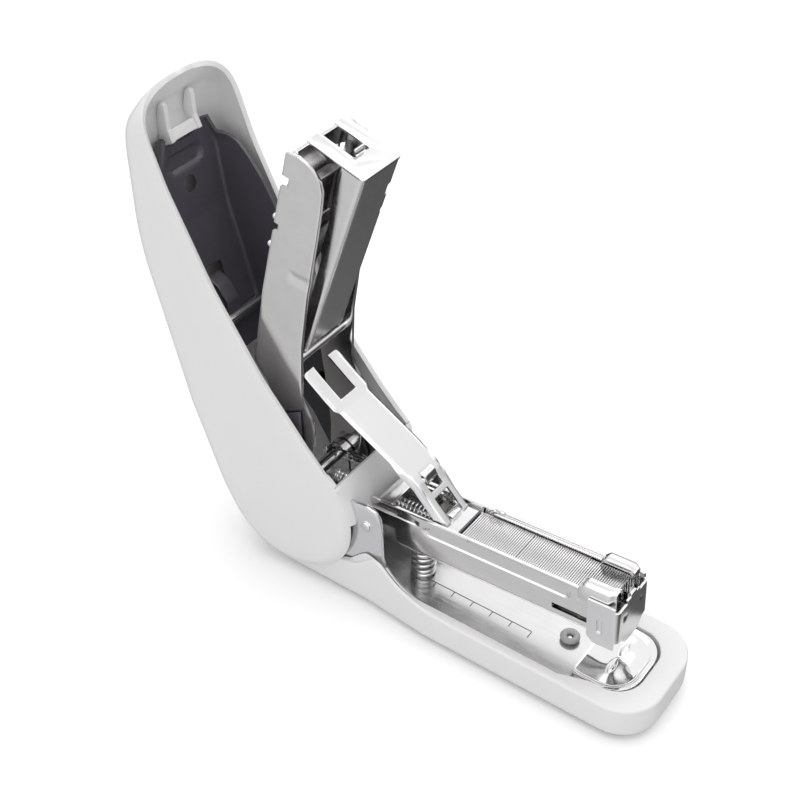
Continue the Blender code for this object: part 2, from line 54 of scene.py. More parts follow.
STAPLE_CORNER = (-5.0, 26.0)

# Where each body stands open: its origin's x and z, and its pitch in degrees
PLACES = {
    "base": (0.0, 0.0, 0.0),
    "handle": (*MAIN_PIN, 119.3),
    "driver_arm": (*MAIN_PIN, 84.9),
    "staple_presser": (PIVOT["presser_hinge"][0] / MM, PIVOT["presser_hinge"][2] / MM, 71.6),
    "magazine": (*STAPLE_CORNER, 3.48),
    "pusher": (*STAPLE_CORNER, 3.48),
    "link": (PIVOT["link_hinge"][0] / MM, PIVOT["link_hinge"][2] / MM, -29.0),
}


# ---------------------------------------------------------------- materials


MIX_FIRST, MIX_SECOND, MIX_RESULT = 6, 7, 2  # a colour mix node's sockets


def node(tree, kind, place, **settings):
    """A new node, with each setting put on the node itself or, failing that, on its input of that name."""
    made = tree.nodes.new(kind)
    made.location = place
    for name, value in settings.items():
        if hasattr(made, name):
            setattr(made, name, value)
        else:
            made.inputs[name.replace("_", " ")].default_value = value
    return made


def join(tree, *links):
    """Links sockets, each link given as (node, output, node, input)."""
    for source, output, target, entry in links:
        tree.links.new(source.outputs[output], target.inputs[entry])


def new_group(name, inputs, outputs):
    """A shader node group with these input defaults, and its input and output nodes."""
    tree = bpy.data.node_groups.new(name, "ShaderNodeTree")
    for label, value in inputs.items():
        kind = "NodeSocketColor" if isinstance(value, tuple) else "NodeSocketFloat"
        tree.interface.new_socket(label, in_out="INPUT", socket_type=kind).default_value = value
    for label, kind in outputs.items():
        tree.interface.new_socket(label, in_out="OUTPUT", socket_type=kind)
    return tree, node(tree, "NodeGroupInput", (-900, 0)), node(tree, "NodeGroupOutput", (700, 0))


def mottle_group():
    """Soft patches: two sizes of noise, as a colour between two tones, a roughness and a height."""
    tree, given, out = new_group(
        "soft_mottle", {"Light": (0.8, 0.8, 0.8, 1.0), "Dark": (0.7, 0.7, 0.7, 1.0), "Patch Scale": 120.0,
         "Grain Scale": 4000.0, "Roughness": 0.4, "Spread": 0.1},
        {"Color": "NodeSocketColor", "Roughness": "NodeSocketFloat", "Height": "NodeSocketFloat"},
    )
    place = node(tree, "ShaderNodeTexCoord", (-900, 300))
    patch = node(tree, "ShaderNodeTexNoise", (-600, 300), Detail=4.0)
    grain = node(tree, "ShaderNodeTexNoise", (-600, -100), Detail=3.0)
    mix = node(tree, "ShaderNodeMix", (0, 300), data_type="RGBA")
    spread = node(tree, "ShaderNodeMath", (-300, 0), operation="MULTIPLY_ADD")
    centre = node(tree, "ShaderNodeMath", (-450, 150), operation="SUBTRACT")
    centre.inputs[1].default_value = 0.5
    joined = node(tree, "ShaderNodeMath", (0, -200), operation="MULTIPLY_ADD")
    joined.inputs[1].default_value = 0.25
    join(tree, (place, "Object", patch, "Vector"), (place, "Object", grain, "Vector"),
         (given, "Patch Scale", patch, "Scale"), (given, "Grain Scale", grain, "Scale"),
         (patch, "Fac", mix, "Factor"), (given, "Light", mix, MIX_FIRST), (given, "Dark", mix, MIX_SECOND),
         (patch, "Fac", centre, 0), (centre, 0, spread, 0), (given, "Spread", spread, 1),
         (given, "Roughness", spread, 2), (patch, "Fac", joined, 0), (grain, "Fac", joined, 2),
         (mix, MIX_RESULT, out, "Color"), (spread, 0, out, "Roughness"), (joined, 0, out, "Height"))
    return tree


def drawn_group():
    """Rolled sheet: noise stretched along x into fine lines, with smudges, as a tone, a roughness and a
    height."""
    tree, given, out = new_group(
        "rolled_sheet", {"Light": (0.8, 0.8, 0.8, 1.0), "Dark": (0.6, 0.6, 0.6, 1.0), "Line Scale": 2500.0,
         "Smudge Scale": 250.0, "Roughness": 0.2, "Spread": 0.15},
        {"Color": "NodeSocketColor", "Roughness": "NodeSocketFloat", "Height": "NodeSocketFloat"},
    )
    place = node(tree, "ShaderNodeTexCoord", (-1100, 300))
    stretch = node(tree, "ShaderNodeMapping", (-900, 300), Scale=(0.06, 1.0, 1.0))
    lines = node(tree, "ShaderNodeTexNoise", (-600, 300), Detail=4.0)
    smudge = node(tree, "ShaderNodeTexNoise", (-600, -100), Detail=5.0)
    tone = node(tree, "ShaderNodeMix", (0, 300), data_type="RGBA")
    both = node(tree, "ShaderNodeMath", (-300, 100), operation="ADD")
    spread = node(tree, "ShaderNodeMath", (0, 0), operation="MULTIPLY_ADD")
    centre = node(tree, "ShaderNodeMath", (-150, 100), operation="SUBTRACT")
    centre.inputs[1].default_value = 1.0
    join(tree, (place, "Object", stretch, "Vector"), (stretch, 0, lines, "Vector"),
         (place, "Object", smudge, "Vector"), (given, "Line Scale", lines, "Scale"),
         (given, "Smudge Scale", smudge, "Scale"), (lines, "Fac", both, 0), (smudge, "Fac", both, 1),
         (both, 0, centre, 0), (centre, 0, spread, 0), (given, "Spread", spread, 1),
         (given, "Roughness", spread, 2), (smudge, "Fac", tone, "Factor"), (given, "Light", tone, MIX_FIRST),
         (given, "Dark", tone, MIX_SECOND), (tone, MIX_RESULT, out, "Color"), (spread, 0, out, "Roughness"),
         (both, 0, out, "Height"))
    return tree


def material(name, group, values, metallic, bump, coat=0.0, coat_roughness=0.1):
    """A Principled surface whose colour, roughness and bump height come from a finish group. values are
    the group's inputs in order: light tone, dark tone, wide scale, fine scale, roughness and its spread."""
    made = bpy.data.materials.new(name)
    made.use_nodes = True
    tree = made.node_tree
    shader = tree.nodes["Principled BSDF"]
    shader.inputs["Metallic"].default_value = metallic
    shader.inputs["Coat Weight"].default_value = coat
    shader.inputs["Coat Roughness"].default_value = coat_roughness
    finish = node(tree, "ShaderNodeGroup", (-700, 200))
    finish.node_tree = group
    for socket, value in zip(finish.inputs, values):
        socket.default_value = value
    relief = node(tree, "ShaderNodeBump", (-350, -200), Strength=bump, Distance=RELIEF * MM)
    join(tree, (finish, "Color", shader, "Base Color"), (finish, "Roughness", shader, "Roughness"),
         (finish, "Height", relief, "Height"), (relief, "Normal", shader, "Normal"))
    return made


RELIEF = 0.05
MOTTLE = mottle_group()
DRAWN = drawn_group()


def grey(value, warm=0.0):
    """A grey of this value, with its red raised and its blue lowered by the share warm."""
    return (value * (1 + warm), value, value * (1 - warm), 1.0)


WHITE = material("white_plastic", MOTTLE, (grey(0.72, 0.003), grey(0.695, 0.004), 60.0, 5000.0, 0.36, 0.12),
                 0.0, 0.05)
BLACK = material("blue_black_paint", MOTTLE,
                 ((0.088, 0.082, 0.100, 1.0), (0.056, 0.052, 0.064, 1.0), 150.0, 2500.0, 0.38, 0.2),
                 0.0, 0.35, 0.3, 0.25)
STEEL = material("bright_steel", DRAWN, (grey(0.78), grey(0.70), 2500.0, 200.0, 0.2, 0.16), 1.0, 0.12)
NICKEL = material("nickel_plate", DRAWN, (grey(0.74, 0.01), grey(0.66, 0.01), 1800.0, 260.0, 0.17, 0.14), 1.0,
                  0.12)
CHROME = material("anvil_chrome", DRAWN, (grey(0.86), grey(0.82), 1500.0, 150.0, 0.06, 0.05), 1.0, 0.03)
ZINC = material("staple_wire", MOTTLE, (grey(0.74), grey(0.66), 500.0, 4000.0, 0.25, 0.12), 1.0, 0.06)
RUBBER = material("grey_rubber", MOTTLE, (grey(0.13), grey(0.09), 300.0, 4000.0, 0.6, 0.15), 0.0, 0.3)
ENGRAVED = material("engraved_line", MOTTLE, (grey(0.16), grey(0.10), 500.0, 4000.0, 0.5, 0.15), 0.3, 0.2)
GREY_RUBBER = material("mid_grey_rubber", MOTTLE, (grey(0.50), grey(0.44), 400.0, 5000.0, 0.5, 0.15), 0.0,
                       0.25)

FINISHES = {"white_shell": WHITE, "black_frame": BLACK, "bright_steel": STEEL, "nickel": NICKEL,
            "anvil_chrome": CHROME, "staple_wire": ZINC, "rubber": RUBBER}
for row in frame["record"]["subparts"]:
    shown = frame["nodes"][row["node"]]
    shown.data.materials.clear()
    shown.data.materials.append(FINISHES[row["material_slot"]])


# ---------------------------------------------------------------- camera, floor and light

AZIMUTH, ELEVATION, ROLL = (math.radians(angle) for angle in (35.18, 38.92, 0.42))
SENSOR, LENS = 36.0, 64.485
CAMERA_PLACE = Vector((109.675, -189.49, 238.007)) * MM


def set_camera():
    """A camera at CAMERA_PLACE that looks along AZIMUTH, down by ELEVATION, and is turned about its axis
    by ROLL."""
    ahead = Vector((-math.sin(AZIMUTH) * math.cos(ELEVATION), math.cos(AZIMUTH) * math.cos(ELEVATION),
                    -math.sin(ELEVATION)))
    right = Vector((math.cos(AZIMUTH), math.sin(AZIMUTH), 0.0))
    up = right.cross(ahead)
    turned = Matrix((right, up, -ahead)).transposed() @ Matrix.Rotation(ROLL, 3, "Z")
    data = bpy.data.cameras.new("camera")
    data.sensor_width = SENSOR
    data.lens = LENS
    data.clip_start, data.clip_end = 0.005, 10.0
    camera = bpy.data.objects.new("camera", data)
    camera.matrix_world = Matrix.Translation(CAMERA_PLACE) @ turned.to_4x4()
    bpy.context.scene.collection.objects.link(camera)
    bpy.context.scene.camera = camera


def add_floor():
    """A flat pale disk far wider than the view."""
    mesh = bpy.data.meshes.new("floor")
    work = bmesh.new()
    bmesh.ops.create_circle(work, cap_ends=True, segments=64, radius=3.0)
    work.to_mesh(mesh)
    work.free()
    floor = bpy.data.objects.new("floor", mesh)
    made = bpy.data.materials.new("floor_paper")
    made.use_nodes = True
    shader = made.node_tree.nodes["Principled BSDF"]
    shader.inputs["Base Color"].default_value = (0.93, 0.93, 0.93, 1.0)
    shader.inputs["Roughness"].default_value = 0.9
    mesh.materials.append(made)
    bpy.context.scene.collection.objects.link(floor)
    floor.visible_glossy = False


def add_area(name, place, aim, size, power):
    """A rectangular soft light at one place, turned to face another."""
    data = bpy.data.lights.new(name, "AREA")
    data.shape = "RECTANGLE"
    data.size, data.size_y = size
    data.energy = power
    light = bpy.data.objects.new(name, data)
    light.location = place
    light.rotation_euler = (Vector(aim) - Vector(place)).to_track_quat("-Z", "Y").to_euler()
    bpy.context.scene.collection.objects.link(light)


# Brightness of the studio from straight down (0) over the horizon (0.5) to straight up (1)
STUDIO_TONES = ((0.0, 0.30), (0.14, 0.12), (0.4, 0.06), (0.5, 0.12), (0.62, 0.55), (0.75, 1.0), (1.0, 1.1))
FRONT_GLOW = (0.95, 0.95, 0.97, 1.0)


def set_world():
    """A studio: a bright ceiling, a dark band round the horizon for the metal to mirror, and white for the
    camera. Mirrored rays also meet a glow in front, as strong as their direction's -y."""
    world = bpy.data.worlds.new("studio")
    world.use_nodes = True
    bpy.context.scene.world = world
    tree = world.node_tree
    tree.nodes.clear()
    place = node(tree, "ShaderNodeTexCoord", (-1000, 0))
    split = node(tree, "ShaderNodeSeparateXYZ", (-800, 0))
    ramp = node(tree, "ShaderNodeValToRGB", (-600, 0))
    studio = node(tree, "ShaderNodeBackground", (-200, 0), Strength=1.0)
    plain = node(tree, "ShaderNodeBackground", (-200, -200), Color=(1.0, 1.0, 1.0, 1.0), Strength=1.0)
    path = node(tree, "ShaderNodeLightPath", (-200, 300))
    mix = node(tree, "ShaderNodeMixShader", (100, 0))
    out = node(tree, "ShaderNodeOutputWorld", (300, 0))
    elements = ramp.color_ramp.elements
    while len(elements) < len(STUDIO_TONES):
        elements.new(0.5)
    for element, (position, value) in zip(elements, STUDIO_TONES):
        element.position = position
        element.color = (value, value, value, 1.0)
    rise = node(tree, "ShaderNodeMath", (-700, -200), operation="MULTIPLY_ADD")
    rise.inputs[1].default_value = 0.5
    rise.inputs[2].default_value = 0.5
    front = node(tree, "ShaderNodeMath", (-700, -400), operation="MULTIPLY")
    front.inputs[1].default_value = -1.0
    front.use_clamp = True
    mirrored = node(tree, "ShaderNodeMath", (-500, -400), operation="MULTIPLY")
    lifted = node(tree, "ShaderNodeMix", (-350, 0), data_type="RGBA", blend_type="ADD")
    lifted.inputs[MIX_SECOND].default_value = FRONT_GLOW
    join(tree, (place, "Generated", split, 0), (split, "Z", rise, 0), (rise, 0, ramp, 0),
         (split, "Y", front, 0),
         (front, 0, mirrored, 0), (path, "Is Glossy Ray", mirrored, 1), (mirrored, 0, lifted, "Factor"),
         (ramp, "Color", lifted, MIX_FIRST), (lifted, MIX_RESULT, studio, "Color"),
         (path, "Is Camera Ray", mix, 0), (studio, 0, mix, 1), (plain, 0, mix, 2), (mix, 0, out, "Surface"))


# ---------------------------------------------------------------- surfaces worked out as arrays


def stand(points, body):
    """Points given as (s, y, h) in a body's own frame, in world metres."""
    origin_x, origin_z, pitch = PLACES[body]
    c, s = math.cos(math.radians(pitch)), math.sin(math.radians(pitch))
    along, across, above = points[..., 0], points[..., 1], points[..., 2]
    world = (origin_x + along * c - above * s, across, origin_z + along * s + above * c)
    return np.stack(world, axis=-1) * MM


def rounded(corners, per_arc=7):
    """The closed outline through `corners`, each (a, b) or (a, b, radius): an arc touches both sides at
    each corner."""
    loops = []
    for index, corner in enumerate(corners):
        here = np.array(corner[:2], float)
        if len(corner) == 2:
            loops.append(here[None])
            continue
        back = np.array(corners[index - 1][:2], float) - here
        on = np.array(corners[(index + 1) % len(corners)][:2], float) - here
        back, on = back / np.linalg.norm(back), on / np.linalg.norm(on)
        half = math.acos(np.clip(back @ on, -1, 1)) / 2
        middle = (back + on) / np.linalg.norm(back + on)
        centre = here + middle * corner[2] / math.sin(half)
        first = here + back * corner[2] / math.tan(half) - centre
        turn = math.copysign(math.pi - 2 * half, back[1] * on[0] - back[0] * on[1])
        angles = turn * np.linspace(0, 1, per_arc)
        c, s = np.cos(angles), np.sin(angles)
        loops.append(centre + np.stack([first[0] * c - first[1] * s, first[0] * s + first[1] * c], axis=-1))
    return np.concatenate(loops)


def run_of(path):
    """Fraction of an open path's length at each of its points."""
    steps = np.linalg.norm(np.diff(path, axis=0), axis=1)
    return np.concatenate([[0], np.cumsum(steps)]) / steps.sum()


def spaced(path, places):
    """Points of an open path at these fractions of its length."""
    run = run_of(path)
    return np.stack([np.interp(places, run, path[:, axis]) for axis in range(path.shape[1])], axis=-1)


def evenly(corners, count):
    """This many even points along the straight lines between corners."""
    return spaced(np.array(corners, float), np.linspace(0, 1, count))


def nearest(path, point):
    """Fraction of the path's length at its point nearest to this one."""
    return run_of(path)[np.argmin(np.linalg.norm(path - point, axis=1))]


def left_of(path):
    """Unit vectors square to a path in a plane, to the left of its way."""
    ahead = np.gradient(path, axis=0)
    ahead /= np.linalg.norm(ahead, axis=1, keepdims=True)
    return np.stack([-ahead[:, 1], ahead[:, 0]], axis=-1)


def grid(points, keep=None, wrap_columns=False):
    """Vertices and quads of a surface given as an array (rows, columns, 3), less the cells that keep
    leaves out."""
    index = np.arange(points.shape[0] * points.shape[1]).reshape(points.shape[:2])
    if wrap_columns:
        index = np.hstack([index, index[:, :1]])
    quads = np.stack([index[:-1, :-1], index[1:, :-1], index[1:, 1:], index[:-1, 1:]], axis=-1)
    if keep is not None:
        quads = quads[keep]
    return points.reshape(-1, 3), quads.reshape(-1, 4).tolist()


SIDES = ((1, "left"), (-1, "right"))
AXES = {"XZ": (0, 2, 1), "XY": (0, 1, 2), "YZ": (1, 2, 0)}


def sided(side, inner, outer):
    """A span of y on the left side, or its mirror image on the right, low end first."""
    return sorted((side * inner, side * outer))


def prism(outline, low, high, flat="XZ"):
    """An outline carried straight from low to high across its plane, and closed by its own face at each
    end."""
    first, second, across = AXES[flat]
    count = len(outline)
    points = np.zeros((2, count, 3))
    points[..., first] = outline[:, 0]
    points[..., second] = outline[:, 1]
    points[..., across] = np.array([low, high])[:, None]
    verts, faces = grid(points, wrap_columns=True)
    return verts, faces + [list(range(count))[::-1], list(range(count, 2 * count))]


def box(x, y, z, radius=0.0):
    """A box from three (low, high) pairs, with its corners in plan rounded."""
    corners = [(x[0], y[0]), (x[1], y[0]), (x[1], y[1]), (x[0], y[1])]
    if radius:
        corners = [(*corner, radius) for corner in corners]
    return prism(rounded(corners), *z, "XY")


def turned(profile, centre, axis="Y", count=40):
    """A profile of (radius, height) points turned round a line through centre along the axis: a surface of
    revolution."""
    angles = np.linspace(0, 2 * np.pi, count, endpoint=False)[None]
    profile = np.asarray(profile, float)
    ring = profile[:, :1] * np.cos(angles), profile[:, :1] * np.sin(angles), profile[:, 1:] + 0 * angles
    order = {"X": (2, 0, 1), "Y": (1, 2, 0), "Z": (0, 1, 2)}[axis]
    points = np.stack([ring[place] for place in order], axis=-1) + np.asarray(centre, float)
    return grid(points, wrap_columns=True)


def drill(radius, low, high, centre=(0.0, 0.0, 0.0), axis="Y", count=36):
    """A plain cylinder that cuts a hole."""
    return turned([(0, low), (radius, low), (radius, high), (0, high)], centre, axis, count)


def pill(radius, low, high, soft=0.2, rows=5):
    """Profile of a rod with rounded rims: a line up its side and a quarter circle in to each end."""
    turn = np.linspace(0, np.pi / 2, rows)
    lower = np.stack([radius - soft + soft * np.sin(turn), low + soft - soft * np.cos(turn)], axis=-1)
    upper = np.stack([radius - soft + soft * np.cos(turn), high - soft + soft * np.sin(turn)], axis=-1)
    return np.concatenate([[[0.0, low]], lower, upper, [[0.0, high]]])


def wire(path, radius, count=10):
    """A round wire: a circle carried along a path, square to it, with a pole at each end."""
    ahead = np.gradient(path, axis=0)
    ahead /= np.linalg.norm(ahead, axis=1, keepdims=True)
    side = np.cross(ahead, np.array([0.0, 0.0, 1.0]) + 0.001 * ahead)
    weak = np.linalg.norm(side, axis=1) < 1e-3
    side[weak] = (0.0, 1.0, 0.0)
    side /= np.linalg.norm(side, axis=1, keepdims=True)
    other = np.cross(side, ahead)
    angles = np.linspace(0, 2 * np.pi, count, endpoint=False)[None, :, None]
    points = path[:, None] + radius * (np.cos(angles) * side[:, None] + np.sin(angles) * other[:, None])
    ends = np.repeat(path[[0, -1]][:, None], count, axis=1)
    return grid(np.concatenate([ends[:1], points, ends[1:]]), wrap_columns=True)


def helix(start, end, radius, turns, wire_width, per_turn=28):
    """Centre line of a coil spring: a circle that climbs evenly, but for a closed turn at each end."""
    start, end = np.asarray(start, float), np.asarray(end, float)
    along = end - start
    length = np.linalg.norm(along)
    turn = np.linspace(0, turns, turns * per_turn + 1)
    closed = wire_width * 1.1
    height = np.interp(turn, [0, 1, turns - 1, turns],
                       [0, closed, length - wire_width - closed, length - wire_width])
    frame_z = along / length
    frame_x = np.cross(frame_z, (0.0, 1.0, 0.0))
    frame_x /= np.linalg.norm(frame_x)
    frame_y = np.cross(frame_z, frame_x)
    ring = np.cos(2 * np.pi * turn)[:, None] * frame_x + np.sin(2 * np.pi * turn)[:, None] * frame_y
    return start + radius * ring + (height + wire_width / 2)[:, None] * frame_z


def ease(value, low, high):
    """A smooth step from 0 at low to 1 at high."""
    t = np.clip((value - low) / (high - low), 0, 1)
    return t * t * (3 - 2 * t)


def pressed(a, b, centre, size, radius, depth, slope=0.35):
    """Depth of a pad pressed into sheet: full inside a rounded box, by its signed distance, and nothing
    outside it."""
    beyond = [np.abs(value - middle) - (length / 2 - radius) for value, middle,
              length in zip((a, b), centre, size)]
    outside = np.hypot(np.maximum(beyond[0], 0), np.maximum(beyond[1], 0))
    distance = outside + np.minimum(np.maximum(*beyond), 0) - radius
    return depth * (1 - ease(distance, -slope, slope))


def channel(s, half, web, edges, fold, wall_rows=12, fold_rows=6, web_columns=12):
    """Middle surface of a folded channel: each section runs from the left wall's edge to a quarter circle,
    across the web and back up the right wall. edges holds the two walls' edge heights along s."""
    s = np.asarray(s, float)
    half, web = half + 0 * s, web + 0 * s
    lift = np.sign(np.mean(edges[0] - web)) * fold
    down = np.linspace(0, 1, wall_rows)[None]
    turn = np.linspace(0, np.pi / 2, fold_rows)[None, 1:-1]
    over = np.linspace(-1, 1, web_columns)[None]
    root = (web + lift)[:, None]
    parts = []
    for edge in edges:
        wall_h = edge[:, None] * (1 - down) + root * down
        wall_y = half[:, None] + 0 * down
        fold_h = root - lift * np.sin(turn)
        fold_y = half[:, None] - fold * (1 - np.cos(turn))
        parts.append((np.hstack([wall_y, fold_y]), np.hstack([wall_h, fold_h])))
    web_y = -(half - fold)[:, None] * over
    y = np.hstack([parts[0][0], web_y, -parts[1][0][:, ::-1]])
    h = np.hstack([parts[0][1], web[:, None] + 0 * over, parts[1][1][:, ::-1]])
    return np.stack([s[:, None] + 0 * y, y, h], axis=-1)


def cells(points):
    """Middle of each cell of a grid."""
    return (points[:-1, :-1] + points[1:, :-1] + points[1:, 1:] + points[:-1, 1:]) / 4


def stations(low, high, step, *extra):
    """Even steps from low to high, with the extra places among them."""
    even = np.linspace(low, high, max(2, int(round((high - low) / step)) + 1))
    return np.unique(np.round(np.concatenate([even, np.asarray(extra, float)]), 4))


def edge_line(s, corners):
    """Height of an outline at each station, by straight lines between its corners."""
    corners = np.asarray(corners, float)
    return np.interp(s, corners[:, 0], corners[:, 1])


# ---------------------------------------------------------------- making a piece


def mesh_of(name, parts, body, facing=None):
    """One mesh of all the parts in world metres, with no loose or double points and its faces outwards. An
    open surface is turned so that its faces look, on the whole, along facing."""
    verts, faces, count = [], [], 0
    for points, quads in parts:
        verts.append(stand(np.asarray(points, float), body))
        faces += [[corner + count for corner in face] for face in quads]
        count += len(points)
    mesh = bpy.data.meshes.new(name)
    mesh.from_pydata(np.concatenate(verts).tolist(), [], faces)
    work = bmesh.new()
    work.from_mesh(mesh)
    bmesh.ops.remove_doubles(work, verts=work.verts, dist=0.002 * MM)
    bmesh.ops.delete(work, geom=[vert for vert in work.verts if not vert.link_faces], context="VERTS")
    bmesh.ops.recalc_face_normals(work, faces=work.faces)
    if facing is not None:
        wanted = Vector(stand(np.array([facing], float), body)[0] - stand(np.zeros((1, 3)), body)[0])
        if sum(face.normal.dot(wanted) * face.calc_area() for face in work.faces) < 0:
            bmesh.ops.reverse_faces(work, faces=work.faces)
    work.to_mesh(mesh)
    work.free()
    return mesh


def settle(made):
    """Applies the modifiers, so that what the piece rides on is its final mesh."""
    graph = bpy.context.evaluated_depsgraph_get()
    final = bpy.data.meshes.new_from_object(made.evaluated_get(graph))
    made.modifiers.clear()
    made.data = final


def make(name, parts, body, slot, replaces=(), wall=0.0, offset=0.0, edge=0.0, cuts=(), finish=None,
         crease=38, even=True, facing=None):
    """A piece from its parts: given its wall, cut, its rims rounded, painted, and put on its body."""
    made = bpy.data.objects.new(name, mesh_of(name, parts, body, facing))
    bpy.context.scene.collection.objects.link(made)
    if wall:
        thick = made.modifiers.new("wall", "SOLIDIFY")
        thick.thickness = wall * MM
        thick.offset = offset
        thick.use_even_offset = even
        settle(made)
    for number, shape in enumerate(cuts):
        cutter = bpy.data.objects.new(f"{name}_cut{number}", mesh_of("cut", [shape], body))
        bpy.context.scene.collection.objects.link(cutter)
        cut = made.modifiers.new("cut", "BOOLEAN")
        cut.operation = "DIFFERENCE"
        cut.solver = "EXACT"
        cut.object = cutter
        settle(made)
        bpy.data.objects.remove(cutter)
    if edge:
        rim = made.modifiers.new("rim", "BEVEL")
        rim.width = edge * MM
        rim.segments = 2
        rim.limit_method = "ANGLE"
        rim.angle_limit = math.radians(50)
        settle(made)
    made.data.materials.clear()
    made.data.materials.append(finish or FINISHES[slot])
    made.data.shade_smooth()
    made.data.set_sharp_from_angle(angle=math.radians(crease))
    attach(made, body)
    if replaces:
        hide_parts(*replaces)


# ---------------------------------------------------------------- the handle

HANDLE_HALF = 14.3
SHELL_WALL = 1.1
TIP = 94.2
FRONT = TIP - 4.4
DISK = 18.4
BACK_END = -7.5
SEAM = 3.6


def narrowed(points, tip, reach):
    """Rounds a shell's tip in plan: y shrinks along a soft arch, (1 - t^3.2)^0.4, over the last stretch
    before the tip."""
    past = np.clip((points[..., 0] - (tip - reach)) / reach, 0, 1)
    points[..., 1] *= (1 - past**3.2) ** 0.4
    return points


def handle_shell():
    """The outer skin. Along the side outline each section runs from the rim up the cheek, over a rounded
    edge and across the back to the other cheek. Near the rim the cheek leans in past a fine seam, as a
    quarter ellipse."""
    round_end = DISK - 0.1
    back = rounded([(TIP - 0.3, -14.7), (FRONT, -7.6, 6), (66.0, 5.6, 60), (27.4, 15.4, 40), (6.0, 18.7, 20),
                    (-DISK, DISK, round_end), (-DISK, -DISK, round_end), (3.0, -DISK)], 14)
    rim = rounded([(TIP - 0.3, -14.7), (84.0, -13.3, 14), (74.0, -11.7, 40), (52.0, -10.8, 60),
                   (30.0, -12.3, 40), (13.0, -15.6, 14), (3.0, -DISK)], 14)
    rows = np.concatenate([0.03 * np.linspace(0, 1, 22)[:-1] ** 2, np.linspace(0.03, 1, 180)])
    outer = spaced(back, rows)
    marks = [(FRONT, -7.0), (6.0, 18.0), (-DISK, 0.0)]
    twins = [(85.0, -13.5), (26.0, -13.0), (9.0, -16.6)]
    places = [nearest(back, mark) for mark in marks]
    inner = spaced(rim, np.interp(rows, [0, *places, 1], [0, *[nearest(rim, twin) for twin in twins], 1]))
    inward = left_of(outer)
    near = np.linalg.norm(outer - inner, axis=1)
    edge = 3.7 * (1 - np.exp(-near / 5.5))
    start = outer + inward * edge[:, None]
    rise = np.concatenate([np.linspace(0, 0.3, 12), np.linspace(0.3, 1, 16)[1:]])[None, :, None]
    cheek = inner[:, None] * (1 - rise) + start[:, None] * rise
    turn = np.linspace(0, np.pi / 2, 9)[None, 1:, None]
    curve = start[:, None] - inward[:, None] * edge[:, None, None] * np.sin(turn)
    curve_y = HANDLE_HALF - edge[:, None] * (1 - np.cos(turn[..., 0]))
    over = np.linspace(1, -1, 15)[None, 1:-1]
    half_plane = np.concatenate([cheek, curve], axis=1)
    half_y = np.hstack([HANDLE_HALF + 0 * cheek[..., 0], curve_y])
    plane = np.concatenate([half_plane, outer[:, None] + 0 * over[..., None], half_plane[:, ::-1]], axis=1)
    y = np.hstack([half_y, (HANDLE_HALF - edge)[:, None] * over, -half_y[:, ::-1]])
    points = np.stack([plane[..., 0], y, plane[..., 1]], axis=-1)
    rim_height = np.interp(points[..., 0], rim[::-1, 0], rim[::-1, 1])
    from_rim = np.clip(points[..., 2] - rim_height, 0, SEAM)
    from_round = np.clip(DISK - np.hypot(points[..., 0], points[..., 2]), 0, SEAM)
    on_disk = points[..., 0] < 6
    reach = np.where(on_disk, from_round, from_rim) / SEAM
    lean = 0.42 * (1 - np.sqrt(1 - (1 - reach) ** 2 * 0.98)) + 0.06 * (reach < 1)
    lean *= (np.abs(points[..., 1]) > HANDLE_HALF - 0.01) * ease(points[..., 0], -DISK, -6.0)
    points[..., 1] -= np.sign(points[..., 1]) * lean
    points = narrowed(points, TIP - 0.3, 12.0)
    middle = cells(points)
    open_back = (middle[..., 0] < BACK_END) & (np.abs(middle[..., 1]) < HANDLE_HALF - 1.6)
    make("handle_shell", [grid(points, ~open_back)], "handle", "white_shell", ["handle_cover"],
         wall=SHELL_WALL, offset=-1.0, edge=0.3, even=False, facing=(0, 0, 1))


def handle_frame():
    """The black inner frame: a folded channel with a pressed pad, a hole, a slot and a notch in its front
    edge."""
    s = stations(18.0, 79.0, 0.6, 31.9, 32.0, 82.5)
    web = edge_line(s, [(18, 7.0), (32, 7.6), (64, 0.6), (71.2, -2.0), (82.5, -6.2)])
    rim = edge_line(s, [(18, -14.2), (30, -13.4), (66, -12.6), (71, -11.8), (75, -10.6), (77.5, -8.4),
                        (78.6, -6.6), (79.5, -7.4), (82.5, -8.2)])
    near_rim = np.minimum(web - 3.4, rim + 9.0)
    points = channel(s, 9.9, web, (rim, near_rim), 1.4, wall_rows=16, web_columns=26)
    points[..., 1] *= 1 - 0.28 * ease(points[..., 0], 76.0, 82.5)
    pad = pressed(points[..., 0], points[..., 1], (76.8, 0.0), (3.8, 10.5), 1.8, 0.9, 0.35)
    points[..., 2] += pad * (np.abs(points[..., 1]) < 8)
    middle = cells(points)
    keep = (middle[..., 0] > 32.0) | (np.abs(middle[..., 1]) > 9.8)
    slot = box((38.4, 53.0), (-2.6, 2.2), (-20, 30), 0.6)
    hole = drill(1.75, -20, 30, (71.2, 0.0, 0.0), "Z", 32)
    notch = box((80.4, 90.0), (-3.6, 3.6), (-20, 30), 0.8)
    make("handle_channel", [grid(points, keep)], "handle", "black_frame", ["handle_frame"], wall=0.8,
         edge=0.18, cuts=(slot, hole, notch))
    spine = evenly([(38.6, 0, 4.6), (44.0, 0, 2.2), (48.0, 0, 2.6), (50.6, 0, 4.4)], 24)
    spring_leaf(spine, 2.0, 0.5, "frame_leaf", "handle", "black_frame")
    for side, name in SIDES:
        lug = rounded([(-5, -5, 4.8), (-5, 5, 4.8), (10, 5.5), (20, 8.2), (20, -14.2), (14, -11),
                       (7, -6.5, 4)])
        make(f"frame_lug_{name}", [prism(lug, *sided(side, 9.5, 10.3))], "handle", "black_frame", edge=0.15)


